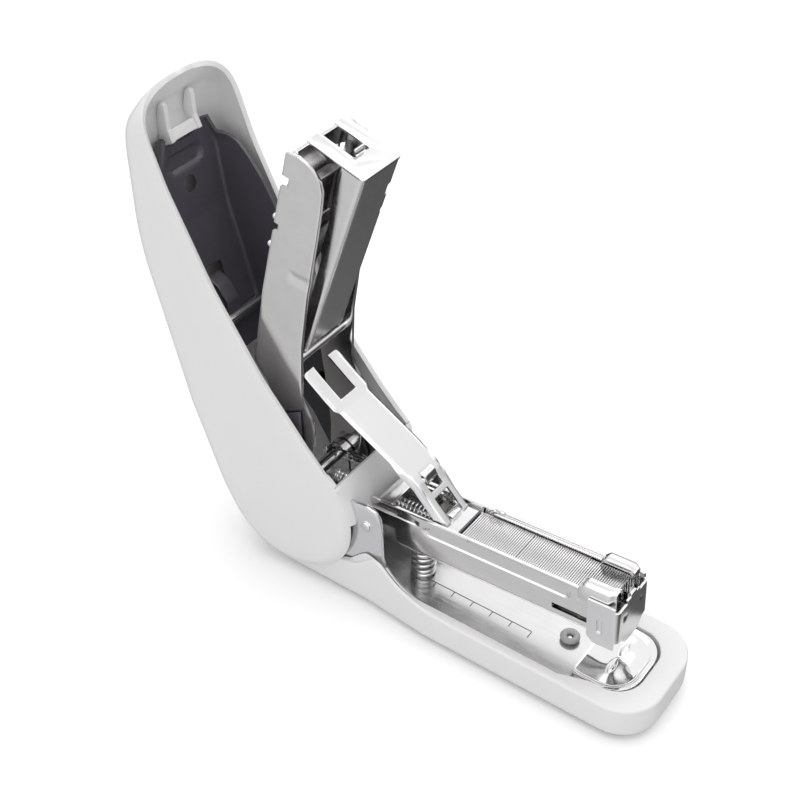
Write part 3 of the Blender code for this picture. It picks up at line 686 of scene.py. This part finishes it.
def spring_leaf(spine, half, thick, name, body, slot):
    """A strip carried along a curve in the plane of s and h."""
    across = np.linspace(-half, half, 7)[None]
    points = np.repeat(spine[:, None], 7, axis=1)
    points[..., 1] += across
    make(name, [grid(points)], body, slot, wall=thick, edge=0.12)


def handle_catch():
    """The white hook that holds the frame at the tip: two ribs, the bar between them and a small step on
    it."""
    ribs = []
    for side in (-1, 1):
        rib = rounded([(81.0, -8.6), (84.0, -8.9, 0.4), (FRONT + 1.0, -12.2, 0.8), (FRONT - 0.6, -9.6),
                       (87.0, -7.4), (84.5, -5.9), (81.0, -4.6)])
        ribs.append(prism(rib, *sided(side, 4.6, 3.4)))
    bar = box((81.2, 83.6), (-4.5, 4.5), (-8.4, -5.4), 0.3)
    step = box((83.4, 86.5), (-3.6, 3.6), (-6.6, -5.2), 0.3)
    make("catch_hook", [*ribs, bar, step], "handle", "white_shell", ["frame_catch"], edge=0.2)


handle_shell()
handle_frame()
handle_catch()

# ---------------------------------------------------------------- the base

BASE_FRONT, BASE_REAR, BASE_HALF = 45.0, -52.0, 14.0
SADDLE_HALF = 12.6
WELL_HALF = 11.7
FLOOR = 4.6
ANVIL_TOP = 8.4
RIM = 9.0
PIN_BORE = 2.2
RIVET = (-24.5, 0, 23.0)
GROMMET = (20.2, 1.5, 0.0)
SPRING_X = -17.0
TROUGH_X = 32.4
ANVIL_HALF, ANVIL_FRONT, ANVIL_ROUND = 9.15, 39.2, 6.4


def base_top(x):
    """Height of the shell's top edge: level at the nose, up over the saddle's ridge, and down behind it."""
    return np.interp(x, [-52, -44, -36, -31, -27, -23.6, -21.6, -19.8, -17.5, -14.5, -11, -6, 0],
                     [13, 13, 11.2, 10.4, 11.3, 14.2, 15.4, 15.0, 13.1, 11.2, 10.1, 9.3, RIM])


def base_shell():
    """The white tub: round its plan each section runs under the outline, up a rounded side, over the rim,
    down the inner wall and back to the middle line."""
    plan = rounded([(BASE_FRONT, 0), (BASE_FRONT, BASE_HALF, 9), (-8, BASE_HALF, 30), (-24, SADDLE_HALF, 30),
                    (BASE_REAR, SADDLE_HALF, 5), (BASE_REAR, 0)], 12)
    well = rounded([(39.8, 0), (39.8, 9.6, 6.5), (25.4, 9.6, 0.4), (24.4, WELL_HALF, 0.4), (-20, WELL_HALF),
                    (BASE_REAR + 1.3, WELL_HALF, 0.6), (BASE_REAR + 1.3, 0)], 8)
    rows = np.unique(np.concatenate([np.linspace(0, 0.42, 60), np.linspace(0.42, 1, 70)]))
    outline = spaced(plan, rows)
    marks = [(37.0, BASE_HALF), (25.0, BASE_HALF), (23.0, BASE_HALF), (BASE_REAR, 9.0)]
    twins = [(35.0, 9.6), (25.2, 9.9), (24.0, WELL_HALF), (BASE_REAR + 1.3, 10.0)]
    opening = spaced(well, np.interp(rows, [0, *[nearest(plan, mark) for mark in marks], 1],
                                     [0, *[nearest(well, twin) for twin in twins], 1]))
    inward = left_of(outline)
    top = base_top(outline[:, 0])
    top_round, foot_round = 0.55, 2.2
    turn = np.linspace(0, np.pi / 2, 7)
    at_foot = [(outline + inward * foot_round * (1 - math.sin(angle)),
                0.5 + foot_round * (1 - math.cos(angle)) + 0 * top)
               for angle in turn]
    side = [(outline, 0.5 + foot_round + (top - top_round - 0.5 - foot_round) * part)
            for part in np.linspace(0.1, 1, 8)]
    at_rim = [(outline + inward * top_round * (1 - math.cos(angle)), top - top_round * (1 - math.sin(angle)))
              for angle in turn[1:]]
    toward = outline + inward * top_round - opening
    toward /= np.maximum(np.linalg.norm(toward, axis=1, keepdims=True), 1e-6)
    inner_round = 0.25
    lip = [(opening + toward * inner_round * (1 - math.sin(angle)), top - inner_round * (1 - math.cos(angle)))
           for angle in turn]
    deep = [(opening, top * (1 - part) + (FLOOR - 1.0) * part) for part in np.linspace(0.1, 1, 6)]
    middle = np.stack([np.clip(outline[:, 0], -44, 34), 0 * top], axis=-1)
    section = [(middle, 0.5 + 0 * top), *at_foot, *side, *at_rim, *lip, *deep,
               (middle, FLOOR - 1.0 + 0 * top)]
    half = np.stack([np.stack([place[:, 0], place[:, 1], height], axis=-1) for place, height in section],
                    axis=1)
    other = half[::-1] * np.array([1, -1, 1])
    make("base_shell", [grid(half), grid(other)], "base", "white_shell", ["base_cover"], crease=50)


def ear_height(x):
    """Top edge of the steel frame: a low lip along the tub, then up the front of the ear and over to its
    rear."""
    ear = [(-50.3, 26.0), (-34, 27.5), (-24.5, 28.8), (-22.2, 28.2), (-21.0, 26.6), (-20.6, 24.5),
           (-20.3, 15.2), (-19.6, 13.4), (-17, 10.9), (-15, 9.4), (-13, 8.5), (-11, 8.25), (25.4, 8.2)]
    return np.interp(x, *np.array(ear).T)


def steel_frame():
    """The folded steel channel: floor, low lips and the two ears, with holes for the pin."""
    x = stations(-50.3, 25.4, 0.8, -24.5, -23.4, -22.2, -21.5, -21.0, -20.8, -20.6, -20.45, -20.3, -19.9,
                 -19.6)
    edge = ear_height(x)
    points = channel(x, 11.0, FLOOR - 0.4, (edge, edge), 1.2, wall_rows=18, web_columns=20)
    hole = drill(PIN_BORE, -20, 20, (MAIN_PIN[0], 0.0, MAIN_PIN[1]))
    make("frame_channel", [grid(points)], "base", "bright_steel", ["base_frame"], wall=0.8, edge=0.16,
         cuts=(hole,))


def ruler():
    """Six 5 mm divisions marked on the frame's floor: a long line, with a tick towards the near side at
    each of them."""
    height, thin, under = FLOOR + 0.03, 0.2, FLOOR - 0.1
    first, division, y = -17.6, 5.0, -1.6
    marks = [box((first, first + 6 * division), (y, y + thin), (under, height))]
    for number in range(7):
        place = first + number * division
        length = 1.9 if number in (0, 6) else 1.5
        marks.append(box((place, place + thin), (y - length, y), (under, height)))
    make("floor_ruler", marks, "base", "bright_steel", finish=ENGRAVED)


def anvil_plate():
    """The chromed plate: a height over its plan, dished inside a raised border, with two leaf-shaped
    clinch troughs."""
    across = np.linspace(-ANVIL_HALF, ANVIL_HALF, 122)
    along = np.linspace(26.5, ANVIL_FRONT, 90)
    x, y = np.meshgrid(along, across, indexing="ij")
    corner = np.clip((x - (ANVIL_FRONT - ANVIL_ROUND)) / ANVIL_ROUND, 0, 1)
    y = y * (ANVIL_HALF - ANVIL_ROUND + ANVIL_ROUND * np.sqrt(1 - corner**2 * 0.999)) / ANVIL_HALF
    dish = 0.3 * pressed(x, y, (30.2, 0.0), (15.8, 16.8), 6.2, 1.0, 0.5)
    z = ANVIL_TOP - dish
    for side in (-1, 1):
        a, b = x - TROUGH_X, y - side * 2.75
        leaf = np.abs(a) + (b / 2.75) ** 2
        z -= 0.55 * (1 - ease(leaf, 0.05, 1.0))
    z += 0.28 * np.exp(-((x - TROUGH_X) / 2.4) ** 2 - (y / 6.2) ** 4)
    top = np.stack([x, y, z], axis=-1)
    make("anvil_plate", [grid(top)], "base", "anvil_chrome", ["anvil"], wall=0.5, offset=-1.0, edge=0.1,
         even=False, facing=(0, 0, 1))


def small_base_parts():
    """The grommet, a ring whose section is an ellipse, with its pin; the main pin with its heads, the
    ears' rivets and the lift spring."""
    ring = [(1.45 + 0.75 * math.cos(angle),
             5.5 + 0.62 * math.sin(angle)) for angle in np.linspace(0, 2 * math.pi, 25)]
    make("grommet_ring", [turned(ring, GROMMET, "Z", 36)], "base", "rubber", ["grommet"], finish=GREY_RUBBER)
    make("grommet_pin", [turned(pill(0.6, FLOOR, 5.3, 0.25), GROMMET, "Z", 24)], "base", "bright_steel",
         ["grommet_stud"])
    pin_x, pin_z = MAIN_PIN
    rod = [pill(1.9, -11.9, 11.9, 0.3), *[pill(2.7, *sided(side, 11.5, 12.2), 0.25) for side, _ in SIDES]]
    make("main_pin", [turned(part, (pin_x, 0, pin_z), "Y", 36) for part in rod], "base", "bright_steel",
         ["pivot_pin"])
    for side, name in SIDES:
        dome = pill(1.15, *sided(side, 11.3, 11.85), 0.25)
        neck = pill(1.5, *sided(side, 11.2, 11.5), 0.1)
        make(f"rivet_{name}", [turned(part, RIVET, "Y", 32) for part in (neck, dome)], "base", "bright_steel",
             [f"ear_rivet_{name}"])
    coil = helix((SPRING_X, 0, FLOOR + 0.3), (SPRING_X, 0, FLOOR + 8.0), 2.6, 5, 0.8)
    make("lift_spring", [wire(coil, 0.4)], "base", "bright_steel", ["return_spring"])


# ---------------------------------------------------------------- the magazine

WALL_MIDDLE = 5.3
MAGAZINE_TOP = 1.0
MAGAZINE_FLOOR = -10.0
FLOOR_REAR = -15.7
SLOT_MIDDLE, SLOT_HALF = (27.45, -6.8), (4.05, 0.7)
STAPLE_PITCH = 0.51
STAPLE_HALF, STAPLE_LEG = 4.5, 5.0
WIRE_HALF, WIRE_HALF_ALONG = 0.215, 0.205


def magazine_body():
    """The long folded channel, with the grooves pressed in its walls, an ear at the front of each wall and
    a slot."""
    u = stations(-44.2, 35.2, 0.5, 28.9, 29.3, 29.9)
    top = edge_line(u, [(-44.2, -1.6), (-43.2, -0.6), (-38, 0.0), (-30, 0.9), (-26, MAGAZINE_TOP),
                        (28.9, MAGAZINE_TOP), (29.9, 2.0), (35.2, 2.0)])
    foot = edge_line(u, [(-44.2, -5.2), (-42.8, -6.4), (-36, -6.2), (-17.0, -4.9), (-15.9, -5.2),
                         (-15.7, -9.6), (35.2, -9.6)])
    full = channel(u, WALL_MIDDLE, MAGAZINE_FLOOR + 0.4, (top, top), 0.9, wall_rows=56, web_columns=8)
    rear = full[..., 0] < FLOOR_REAR
    full[..., 2] = np.where(rear, np.maximum(full[..., 2], foot[:, None]), full[..., 2])
    side = np.abs(full[..., 1]) > WALL_MIDDLE - 0.02
    groove = pressed(full[..., 0], full[..., 2], (9.4, -2.1), (35.5, 2.3), 1.1, 0.34, 0.16)
    step = pressed(full[..., 0], full[..., 2], (-27.5, -0.9), (34.5, 1.6), 0.3, 0.3, 0.16)
    full[..., 1] -= np.sign(full[..., 1]) * (groove + step) * side
    middle = cells(full)
    keep = (middle[..., 0] > FLOOR_REAR) | (np.abs(middle[..., 1]) > WALL_MIDDLE - 0.3)
    on_wall = np.abs(middle[..., 1]) > WALL_MIDDLE - 0.5
    slot = on_wall & (np.abs(middle[..., 0] - SLOT_MIDDLE[0]) < SLOT_HALF[0])
    slot &= np.abs(middle[..., 2] - SLOT_MIDDLE[1]) < SLOT_HALF[1]
    pin = pin_in_magazine()
    hole = on_wall & (np.hypot(middle[..., 0] - pin[0], middle[..., 2] - pin[2]) < 2.4)
    make("magazine_channel", [grid(full, keep & ~slot & ~hole)], "magazine", "nickel", ["magazine"], wall=0.8,
         edge=0.16)


def pin_in_magazine():
    """The main pin's place in the magazine's own frame."""
    lift = math.radians(PLACES["magazine"][2])
    x, z = MAIN_PIN[0] - STAPLE_CORNER[0], MAIN_PIN[1] - STAPLE_CORNER[1]
    return x * math.cos(lift) + z * math.sin(lift), 0.0, z * math.cos(lift) - x * math.sin(lift)


def rail_lips():
    """Along the top of each wall: an inner lip beside the staples, a dark trough, and the wall's rolled
    edge."""
    profile = np.array([(5.62, 0.2), (5.66, 1.15), (5.46, 1.32), (5.28, 1.1), (5.24, -0.6), (5.05, -0.8),
                        (4.9, -0.6), (4.88, 0.5), (4.76, 0.62), (4.62, 0.5), (4.6, 0.1)], float)
    rows = stations(2.6, 29.2, 0.8)
    for side, name in SIDES:
        points = np.zeros((len(rows), len(profile), 3))
        points[..., 0] = rows[:, None]
        points[..., 1] = side * profile[None, :, 0]
        points[..., 2] = profile[None, :, 1]
        make(f"rail_lip_{name}", [grid(points)], "magazine", "nickel", wall=0.16, edge=0.05)


def front_ears():
    """A folded ear at the front of each wall: up from the wall, turned inwards on top, and curled in at
    its front."""
    u = stations(29.2, 37.4, 0.35)
    lift = ease(u, 29.0, 30.6)
    inset = ease(u, 35.8, 37.4)
    top = 1.0 + 1.5 * lift
    outer = 5.66 - 0.9 * inset
    inner = 3.3 - 0.5 * inset + 0.9 * (1 - lift)
    profile = [(outer, 0 * u - 2.0), (outer, top - 0.5), (outer - 0.12, top - 0.15), (outer - 0.45, top),
               (inner, top), (inner - 0.1, top - 0.25), (inner - 0.1, top - 0.8)]
    for side, name in SIDES:
        points = np.stack([np.stack([u, side * across, height], axis=-1) for across, height in profile],
                          axis=1)
        make(f"front_ear_{name}", [grid(points)], "magazine", "nickel", wall=0.42, edge=0.1)


def front_cap():
    """The cap wrapped round the nose: a band along its plan, with a window pressed in each side, two
    dimples in the front and a tongue below."""
    half, rear, front, wall = 6.25, 31.8, 38.55, 0.5
    bend = rounded([(rear, -half), (front, -half, 0.9), (front, half, 0.9), (rear, half)], 9)
    plan = spaced(bend, np.linspace(0, 1, 260))
    out = -left_of(plan)
    across = plan[:, 1]
    side = plan[:, 0] < front - 0.6
    low = np.where(side, np.interp(plan[:, 0], [rear, rear + 1.6, front], [-9.9, -11.3, -11.3]),
                   np.interp(np.abs(across), [0, 2.6, 3.4, 4.4, half], [-11.9, -11.7, -10.9, -9.6, -9.3]))
    high = np.where(side, 0.15, np.interp(np.abs(across), [0, 1.0, 1.15, 2.5, 2.65, half],
                                          [0.7, 0.7, -0.1, -0.1, -0.9, -0.9]))
    rise = np.linspace(0, 1, 46)[None]
    height = low[:, None] * (1 - rise) + high[:, None] * rise
    run_u = plan[:, :1] + 0 * height
    run_y = across[:, None] + 0 * height
    window = pressed(run_u, height, (34.6, -6.2), (1.3, 3.6), 0.25, 0.3, 0.12) * (np.abs(run_y) > half - 0.05)
    far = [(run_y - place) ** 2 + (height + 4.0) ** 2 for place in (-3.4, 3.4)]
    dimples = sum(0.35 * np.exp(-square / 0.35) for square in far)
    dimples = dimples * (run_u > front - 0.1)
    depth = (window + dimples)[..., None]
    points = np.concatenate([plan[:, None] - out[:, None] * depth, height[..., None]], axis=-1)
    make("nose_cap", [grid(points)], "magazine", "bright_steel", ["front_cap"], wall=wall, edge=0.12)


def staple_strips():
    """Seventy staples: each is one round-cornered bar bent over the strip, a closed section carried leg,
    crown, leg."""
    corner = np.linspace(0, np.pi / 2, 4)
    mid = STAPLE_HALF - WIRE_HALF
    bend = [(mid - 0.3 + 0.3 * math.cos(angle), -0.3 - WIRE_HALF + 0.3 * math.sin(angle)) for angle in corner]
    path = np.array([(mid, -STAPLE_LEG)] + bend)
    path = np.concatenate([path, path[::-1] * (-1, 1)])
    out = -left_of(path)
    section = np.array([(-1, -0.55), (-0.55, -1), (0.55, -1), (1, -0.55), (1, 0.55), (0.55, 1), (-0.55, 1),
                        (-1, 0.55)])
    section = section * (WIRE_HALF_ALONG, WIRE_HALF)
    for name, node_name, first, count in (("staples_rear", "staple_strip_rear", 0.0, 26),
                                          ("staples_front", "staple_strip_front", 13.4, 44)):
        parts = []
        for number in range(count):
            middle = first + STAPLE_PITCH * (number + 0.5)
            points = np.zeros((len(path), 8, 3))
            points[..., 0] = middle + section[None, :, 0]
            points[..., 1:] = path[:, None] + out[:, None] * section[None, :, 1:]
            verts, faces = grid(points, wrap_columns=True)
            last = len(path) * 8
            parts.append((verts, faces + [list(range(8))[::-1], list(range(last - 8, last))]))
        make(name, parts, "magazine", "staple_wire", [node_name])


def magazine_small_parts():
    """The rod and feed spring behind the pusher, the strap over the rails and a small wire clip."""
    rod_height = -3.2
    make("slide_rod", [turned(pill(0.5, -36.3, 32.5, 0.1), (0, 0, rod_height), "X", 20)], "magazine",
         "bright_steel", ["guide_rod"])
    coil = helix((-36.3, 0, rod_height), (-6.6, 0, rod_height), 1.5, 30, 0.42, 16)
    make("feed_spring", [wire(coil, 0.21, 8)], "magazine", "bright_steel", ["pusher_spring"])
    strap = rounded([(-20.3, -5.6, 0.4), (-16.6, -5.6, 0.4), (-16.6, 5.6, 0.4), (-20.3, 5.6, 0.4)])
    make("rear_strap", [prism(strap, 1.3, 1.85, "XY")], "magazine", "bright_steel", ["bridge_plate"],
         edge=0.12)
    clip = evenly([(1.9, 4.4, 0.5), (2.2, 4.4, 1.2), (2.9, 4.6, 1.5), (3.6, 4.9, 1.0), (4.2, 4.9, 1.5),
                   (5.0, 5.1, 1.3)], 24)
    make("spring_clip", [wire(clip, 0.22, 8)], "magazine", "bright_steel")


# ---------------------------------------------------------------- pusher and link


def pusher_block():
    """The pusher: a folded box with a bright top, a dark front lip and the lug that the link hooks."""
    s = stations(-6.2, -0.4, 0.3)
    foot = 0 * s - 5.0
    points = channel(s, 4.25, 0 * s - 0.1, (foot, foot), 0.5, wall_rows=8, web_columns=16)
    make("pusher_cover", [grid(points)], "pusher", "bright_steel", ["pusher"], wall=0.5, edge=0.12)
    lip = box((-0.75, -0.32), (-4.3, 4.3), (-4.6, 0.25))
    make("pusher_lip", [lip], "pusher", "black_frame", edge=0.08)
    lug = rounded([(-5.6, -0.1), (-3.6, -0.1), (-3.6, 1.2, 0.5), (-5.6, 1.2, 0.5)])
    make("pusher_lug", [prism(lug, -1.7, 1.7)], "pusher", "bright_steel", edge=0.12)


def link_bar():
    """The bright link: a strip whose half width and rise follow its length, forked at the top, with a
    window below, its lower edges folded down and its end dropped to the lug."""
    length = 43.0
    s = stations(-length, 1.0, 0.35, -34.1, -33.9, -11.2, -11.0, -7.4, -7.2)
    half = edge_line(s, [(-length, 5.5), (-42.4, 5.75), (-33, 5.85), (-31.8, 5.0), (-14, 5.0), (-12, 4.5),
                         (-9.4, 4.3), (1.0, 4.3)])
    rise = edge_line(s, [(-length, 4.5), (-40, 4.05), (-36, 3.5), (-32, 3.15), (-28, 3.1), (-11.0, 3.1),
                         (-9.4, 2.9), (-7.0, 2.1), (0.6, -0.1), (1.0, -0.2)])
    across = np.linspace(-1, 1, 34)[None]
    fold = ease(s, -17.0, -11.0) * 1.3 + 0.25
    y = half[:, None] * across
    h = rise[:, None] - fold[:, None] * np.clip((np.abs(across) - 0.86) / 0.14, 0, 1) ** 2
    points = np.stack([s[:, None] + 0 * y, y, h], axis=-1)
    middle = cells(points)
    fork = (middle[..., 0] < -34.0) & (np.abs(middle[..., 1]) < 2.5)
    window = (middle[..., 0] > -11.1) & (middle[..., 0] < -6.3) & (np.abs(middle[..., 1]) < 2.1)
    legs = (middle[..., 0] > -5.0) & (np.abs(middle[..., 1]) < 2.5)
    make("link_bar", [grid(points, ~(fork | window | legs))], "link", "bright_steel", ["link"], wall=0.7,
         edge=0.14)
    spine = evenly([(-11.4, 0, 3.2), (-10.6, 0, 3.8), (-9.6, 0, 3.9), (-8.7, 0, 3.2), (-8.3, 0, 2.2)], 18)
    spring_leaf(spine, 1.9, 0.45, "link_tab", "link", "bright_steel")
    for side, name in SIDES:
        prong = rounded([(-12.4, 3.3, 0.5), (-12.4, 1.9, 0.5), (-9.0, 0.8, 1.5), (-3.6, -0.9, 0.6),
                         (-2.2, -0.6, 0.3), (-2.6, 0.6, 1.0), (-8.0, 2.9, 2.0)])
        make(f"link_prong_{name}", [prism(prong, *sided(side, 4.35, 3.85))], "link", "bright_steel",
             edge=0.12)


# ---------------------------------------------------------------- driver arm and staple presser

ARM_MIDDLE = 8.8
STUD_S = 44.0
PRESSER_PLACE = (36.4, 0.0, 2.2)


def arm_walls():
    """The nickel arm's two walls. A wall's two edges are outlines given along s, each section runs
    straight between them, and a pressed bead crosses it near the tip."""
    s = stations(-4.0, 85.9, 0.7, 66.9, 67.1, 68.9, 69.1, 77.9, 78.1, 80.4, 80.6, 85.4, 85.6, 85.75)
    back = edge_line(s, [(-4, 0.6), (-3.2, 2.4), (-1.5, 3.7), (0, 4.0), (6, 4.2), (20, 6.9), (27.5, 8.7),
                         (30, 11.2), (31.4, 12.5),
                         (33, 12.6), (51, 10.9), (66, 8.8), (85.6, 6.0), (85.9, 5.8)])
    fore = edge_line(s, [(-4, -0.6), (-3.2, -2.4), (-1.5, -3.7), (0, -4.0), (6, -4.2), (20, -3.8), (23, -3.3),
                         (25.2, -1.7),
                         (26.6, -0.8), (28.5, -0.1), (41, 0.5), (54.4, -0.3), (69.8, -2.0), (76, -2.6),
                         (80.4, -2.8), (82.4, -2.3), (84.2, -0.9), (85.4, 1.2), (85.9, 3.0)])
    for cut_from, cut_to, depth in ((67.0, 69.0, 1.1), (78.0, 80.5, 1.7)):
        back = np.where((s > cut_from) & (s < cut_to), back - depth, back)
    rise = np.linspace(0, 1, 20)[None]
    h = fore[:, None] * (1 - rise) + back[:, None] * rise
    bead = pressed(s[:, None] + 0 * h, h, (58.4, 1.6), (1.2, 5.0), 0.5, 0.28, 0.25)
    bead += pressed(s[:, None] + 0 * h, h, (57.0, 1.6), (0.5, 5.6), 0.2, 0.12, 0.2)
    pin = drill(PIN_BORE, -12, 12)
    for side, name in SIDES:
        points = np.stack([s[:, None] + 0 * h, side * (ARM_MIDDLE - bead), h], axis=-1)
        make(f"arm_wall_{name}", [grid(points)], "driver_arm", "nickel", ["driver_arm"], wall=0.8, edge=0.16,
             cuts=(pin,))


def arm_web():
    """The arm's back: a web whose height follows the walls' back edge, with its folds along both sides."""
    s = stations(31.0, 85.7, 0.7)
    top = edge_line(s, [(31, 12.1), (51, 10.5), (66, 8.4), (85.7, 5.4)])
    across = np.linspace(-1, 1, 25)[None]
    y = 8.35 * across + 0 * s[:, None]
    h = top[:, None] - 0.9 * np.clip((np.abs(y) - 7.3) / 1.05, 0, 1) ** 2.5
    points = np.stack([s[:, None] + 0 * y, y, h], axis=-1)
    notches = [box((77.9, 80.7), sided(side, 7.3, 12), (-5, 15), 0.3) for side, _ in SIDES]
    make("arm_back", [grid(points)], "driver_arm", "nickel", ["driver_arm"], wall=0.75, offset=-1.0,
         edge=0.14, cuts=notches, facing=(0, 0, 1))
    for number, (place, height) in enumerate(((70.0, 8.2), (63.0, 9.3))):
        bosses = [turned(pill(0.7, side * 8.45 - 0.6, side * 8.45 + 0.6, 0.5), (place, 0.0, height + 0.3),
                         "Y", 20)
                  for side in (-1, 1)]
        make(f"arm_bosses_{number}", bosses, "driver_arm", "bright_steel")


def arm_inside():
    """The striker blade bent down inside the arm, its rivet, the presser's pin and a sprung tongue."""
    line = np.array([(36, 10.75), (51, 9.45), (66, 7.35), (76.6, 5.75), (77.5, 5.1), (77.75, 4.2),
                     (77.75, 2.6)], float)
    line = spaced(np.insert(line, 1, 0, axis=1),
                  np.unique(np.concatenate([np.linspace(0, 1, 60), np.linspace(0.92, 1.0, 14)])))
    across = np.linspace(-4.2, 4.2, 15)[None]
    points = np.repeat(line[:, None], 15, axis=1)
    points[..., 1] += across
    hole = drill(1.3, 0, 14, (STUD_S, 0.0, 2.0), "Z", 28)
    make("striker_blade", [grid(points)], "driver_arm", "bright_steel", ["driver_blade"], wall=0.5, edge=0.1,
         cuts=(hole,))
    make("blade_stud", [turned(pill(1.0, 9.8, 12.0, 0.25), (STUD_S, 0.0, 0.0), "Z", 28)], "driver_arm",
         "bright_steel", ["blade_rivet"])
    make("presser_axle", [turned(pill(1.0, -8.5, 8.5, 0.25), PRESSER_PLACE, "Y", 28)], "driver_arm",
         "bright_steel", ["presser_pin"])
    tongue = evenly([(47.0, 0, 8.9), (56.0, 0, 6.0), (63.0, 0, 3.4), (67.0, 0, 2.6), (69.0, 0, 3.4)], 40)
    spring_leaf(tongue, 2.6, 0.4, "arm_tongue", "driver_arm", "bright_steel")


def presser_body():
    """The channel that clears the staples: web, side walls stepped along their free edge, and the forked
    end plate."""
    s = stations(-2.2, 49.7, 0.55, 3.3, 3.5, 27.9, 28.1, 37.9, 38.1, 40.4, 40.6)
    wall = edge_line(s, [(-2.2, 1.6), (-1.0, 2.4), (4, 2.4), (20, 2.6), (27.9, 2.9), (28.0, 3.5), (37.9, 3.7),
                         (38.0, 4.4), (49.7, 4.5)])
    points = channel(s, 5.7, -0.3, (wall, wall), 0.7, wall_rows=10, web_columns=14)
    middle = cells(points)
    keep = (middle[..., 0] > 3.4) | (np.abs(middle[..., 1]) > 5.4)
    pin = drill(1.3, -12, 12, count=28)
    slot = box((40.6, 43.4), (4.5, 8.0), (-3, 1.4), 0.4)
    notch = box((35.6, 37.0), (4.9, 8.0), (-3, 1.4), 0.3)
    make("presser_channel", [grid(points, keep)], "staple_presser", "nickel", ["staple_presser"], wall=0.6,
         edge=0.12, cuts=(pin, slot, notch))
    outline = rounded([(-6.0, -0.6, 0.5), (6.0, -0.6, 0.5), (6.0, 13.3, 0.35), (2.5, 13.3, 0.35),
                       (2.5, 4.6, 0.3), (-2.3, 4.6, 0.3), (-2.3, 13.3, 0.35), (-6.0, 13.3, 0.35)])
    make("presser_fork", [prism(outline, 49.4, 49.95, "YZ")], "staple_presser", "bright_steel", edge=0.1)
    tab = evenly([(49.6, 0, 4.5), (49.7, 0, 5.0), (50.2, 0, 5.3), (50.9, 0, 5.4)], 12)
    spring_leaf(tab, 1.5, 0.45, "fork_tab", "staple_presser", "bright_steel")
    hook = evenly([(49.4, -2.0, 9.2), (48.6, -1.5, 9.4), (47.6, -1.3, 9.0), (47.0, -1.3, 8.2)], 12)
    spring_leaf(hook, 0.7, 0.4, "fork_hook", "staple_presser", "bright_steel")
    make("fork_stop", [box((43.0, 46.2), (-1.6, -0.2), (3.0, 3.5), 0.4)], "staple_presser", "bright_steel",
         edge=0.1)


def handle_small_parts():
    """The bar through which the handle presses the arm, and a rib inside the shell."""
    make("press_bar", [turned(pill(1.4, -9.2, 9.2, 0.25), (40.0, 0.0, 4.0), "Y", 32)], "handle",
         "bright_steel", ["press_roller"])
    rib = rounded([(14.0, -9.0, 0.3), (19.5, -9.0, 0.3), (19.5, -10.0, 0.3), (14.0, -10.0, 0.3)])
    make("inner_rib", [prism(rib, 11.6, 13.1)], "handle", "white_shell", edge=0.15)


handle_small_parts()
base_shell()
steel_frame()
ruler()
anvil_plate()
small_base_parts()
magazine_body()
rail_lips()
front_ears()
front_cap()
staple_strips()
magazine_small_parts()
pusher_block()
link_bar()
arm_walls()
arm_web()
arm_inside()
presser_body()

set_camera()
add_floor()
set_world()
add_area("ceiling", (-0.1, 0.1, 0.75), (0.0, 0.0, 0.05), (0.9, 0.6), 2.2)
add_area("front_panel", (0.25, -0.75, 0.30), (-0.02, 0.0, 0.06), (0.5, 0.5), 0.6)
add_area("back_panel", (-0.1, 0.7, 0.45), (0.0, 0.0, 0.06), (0.8, 0.3), 0.6)
bpy.context.scene.view_settings.view_transform = "Standard"
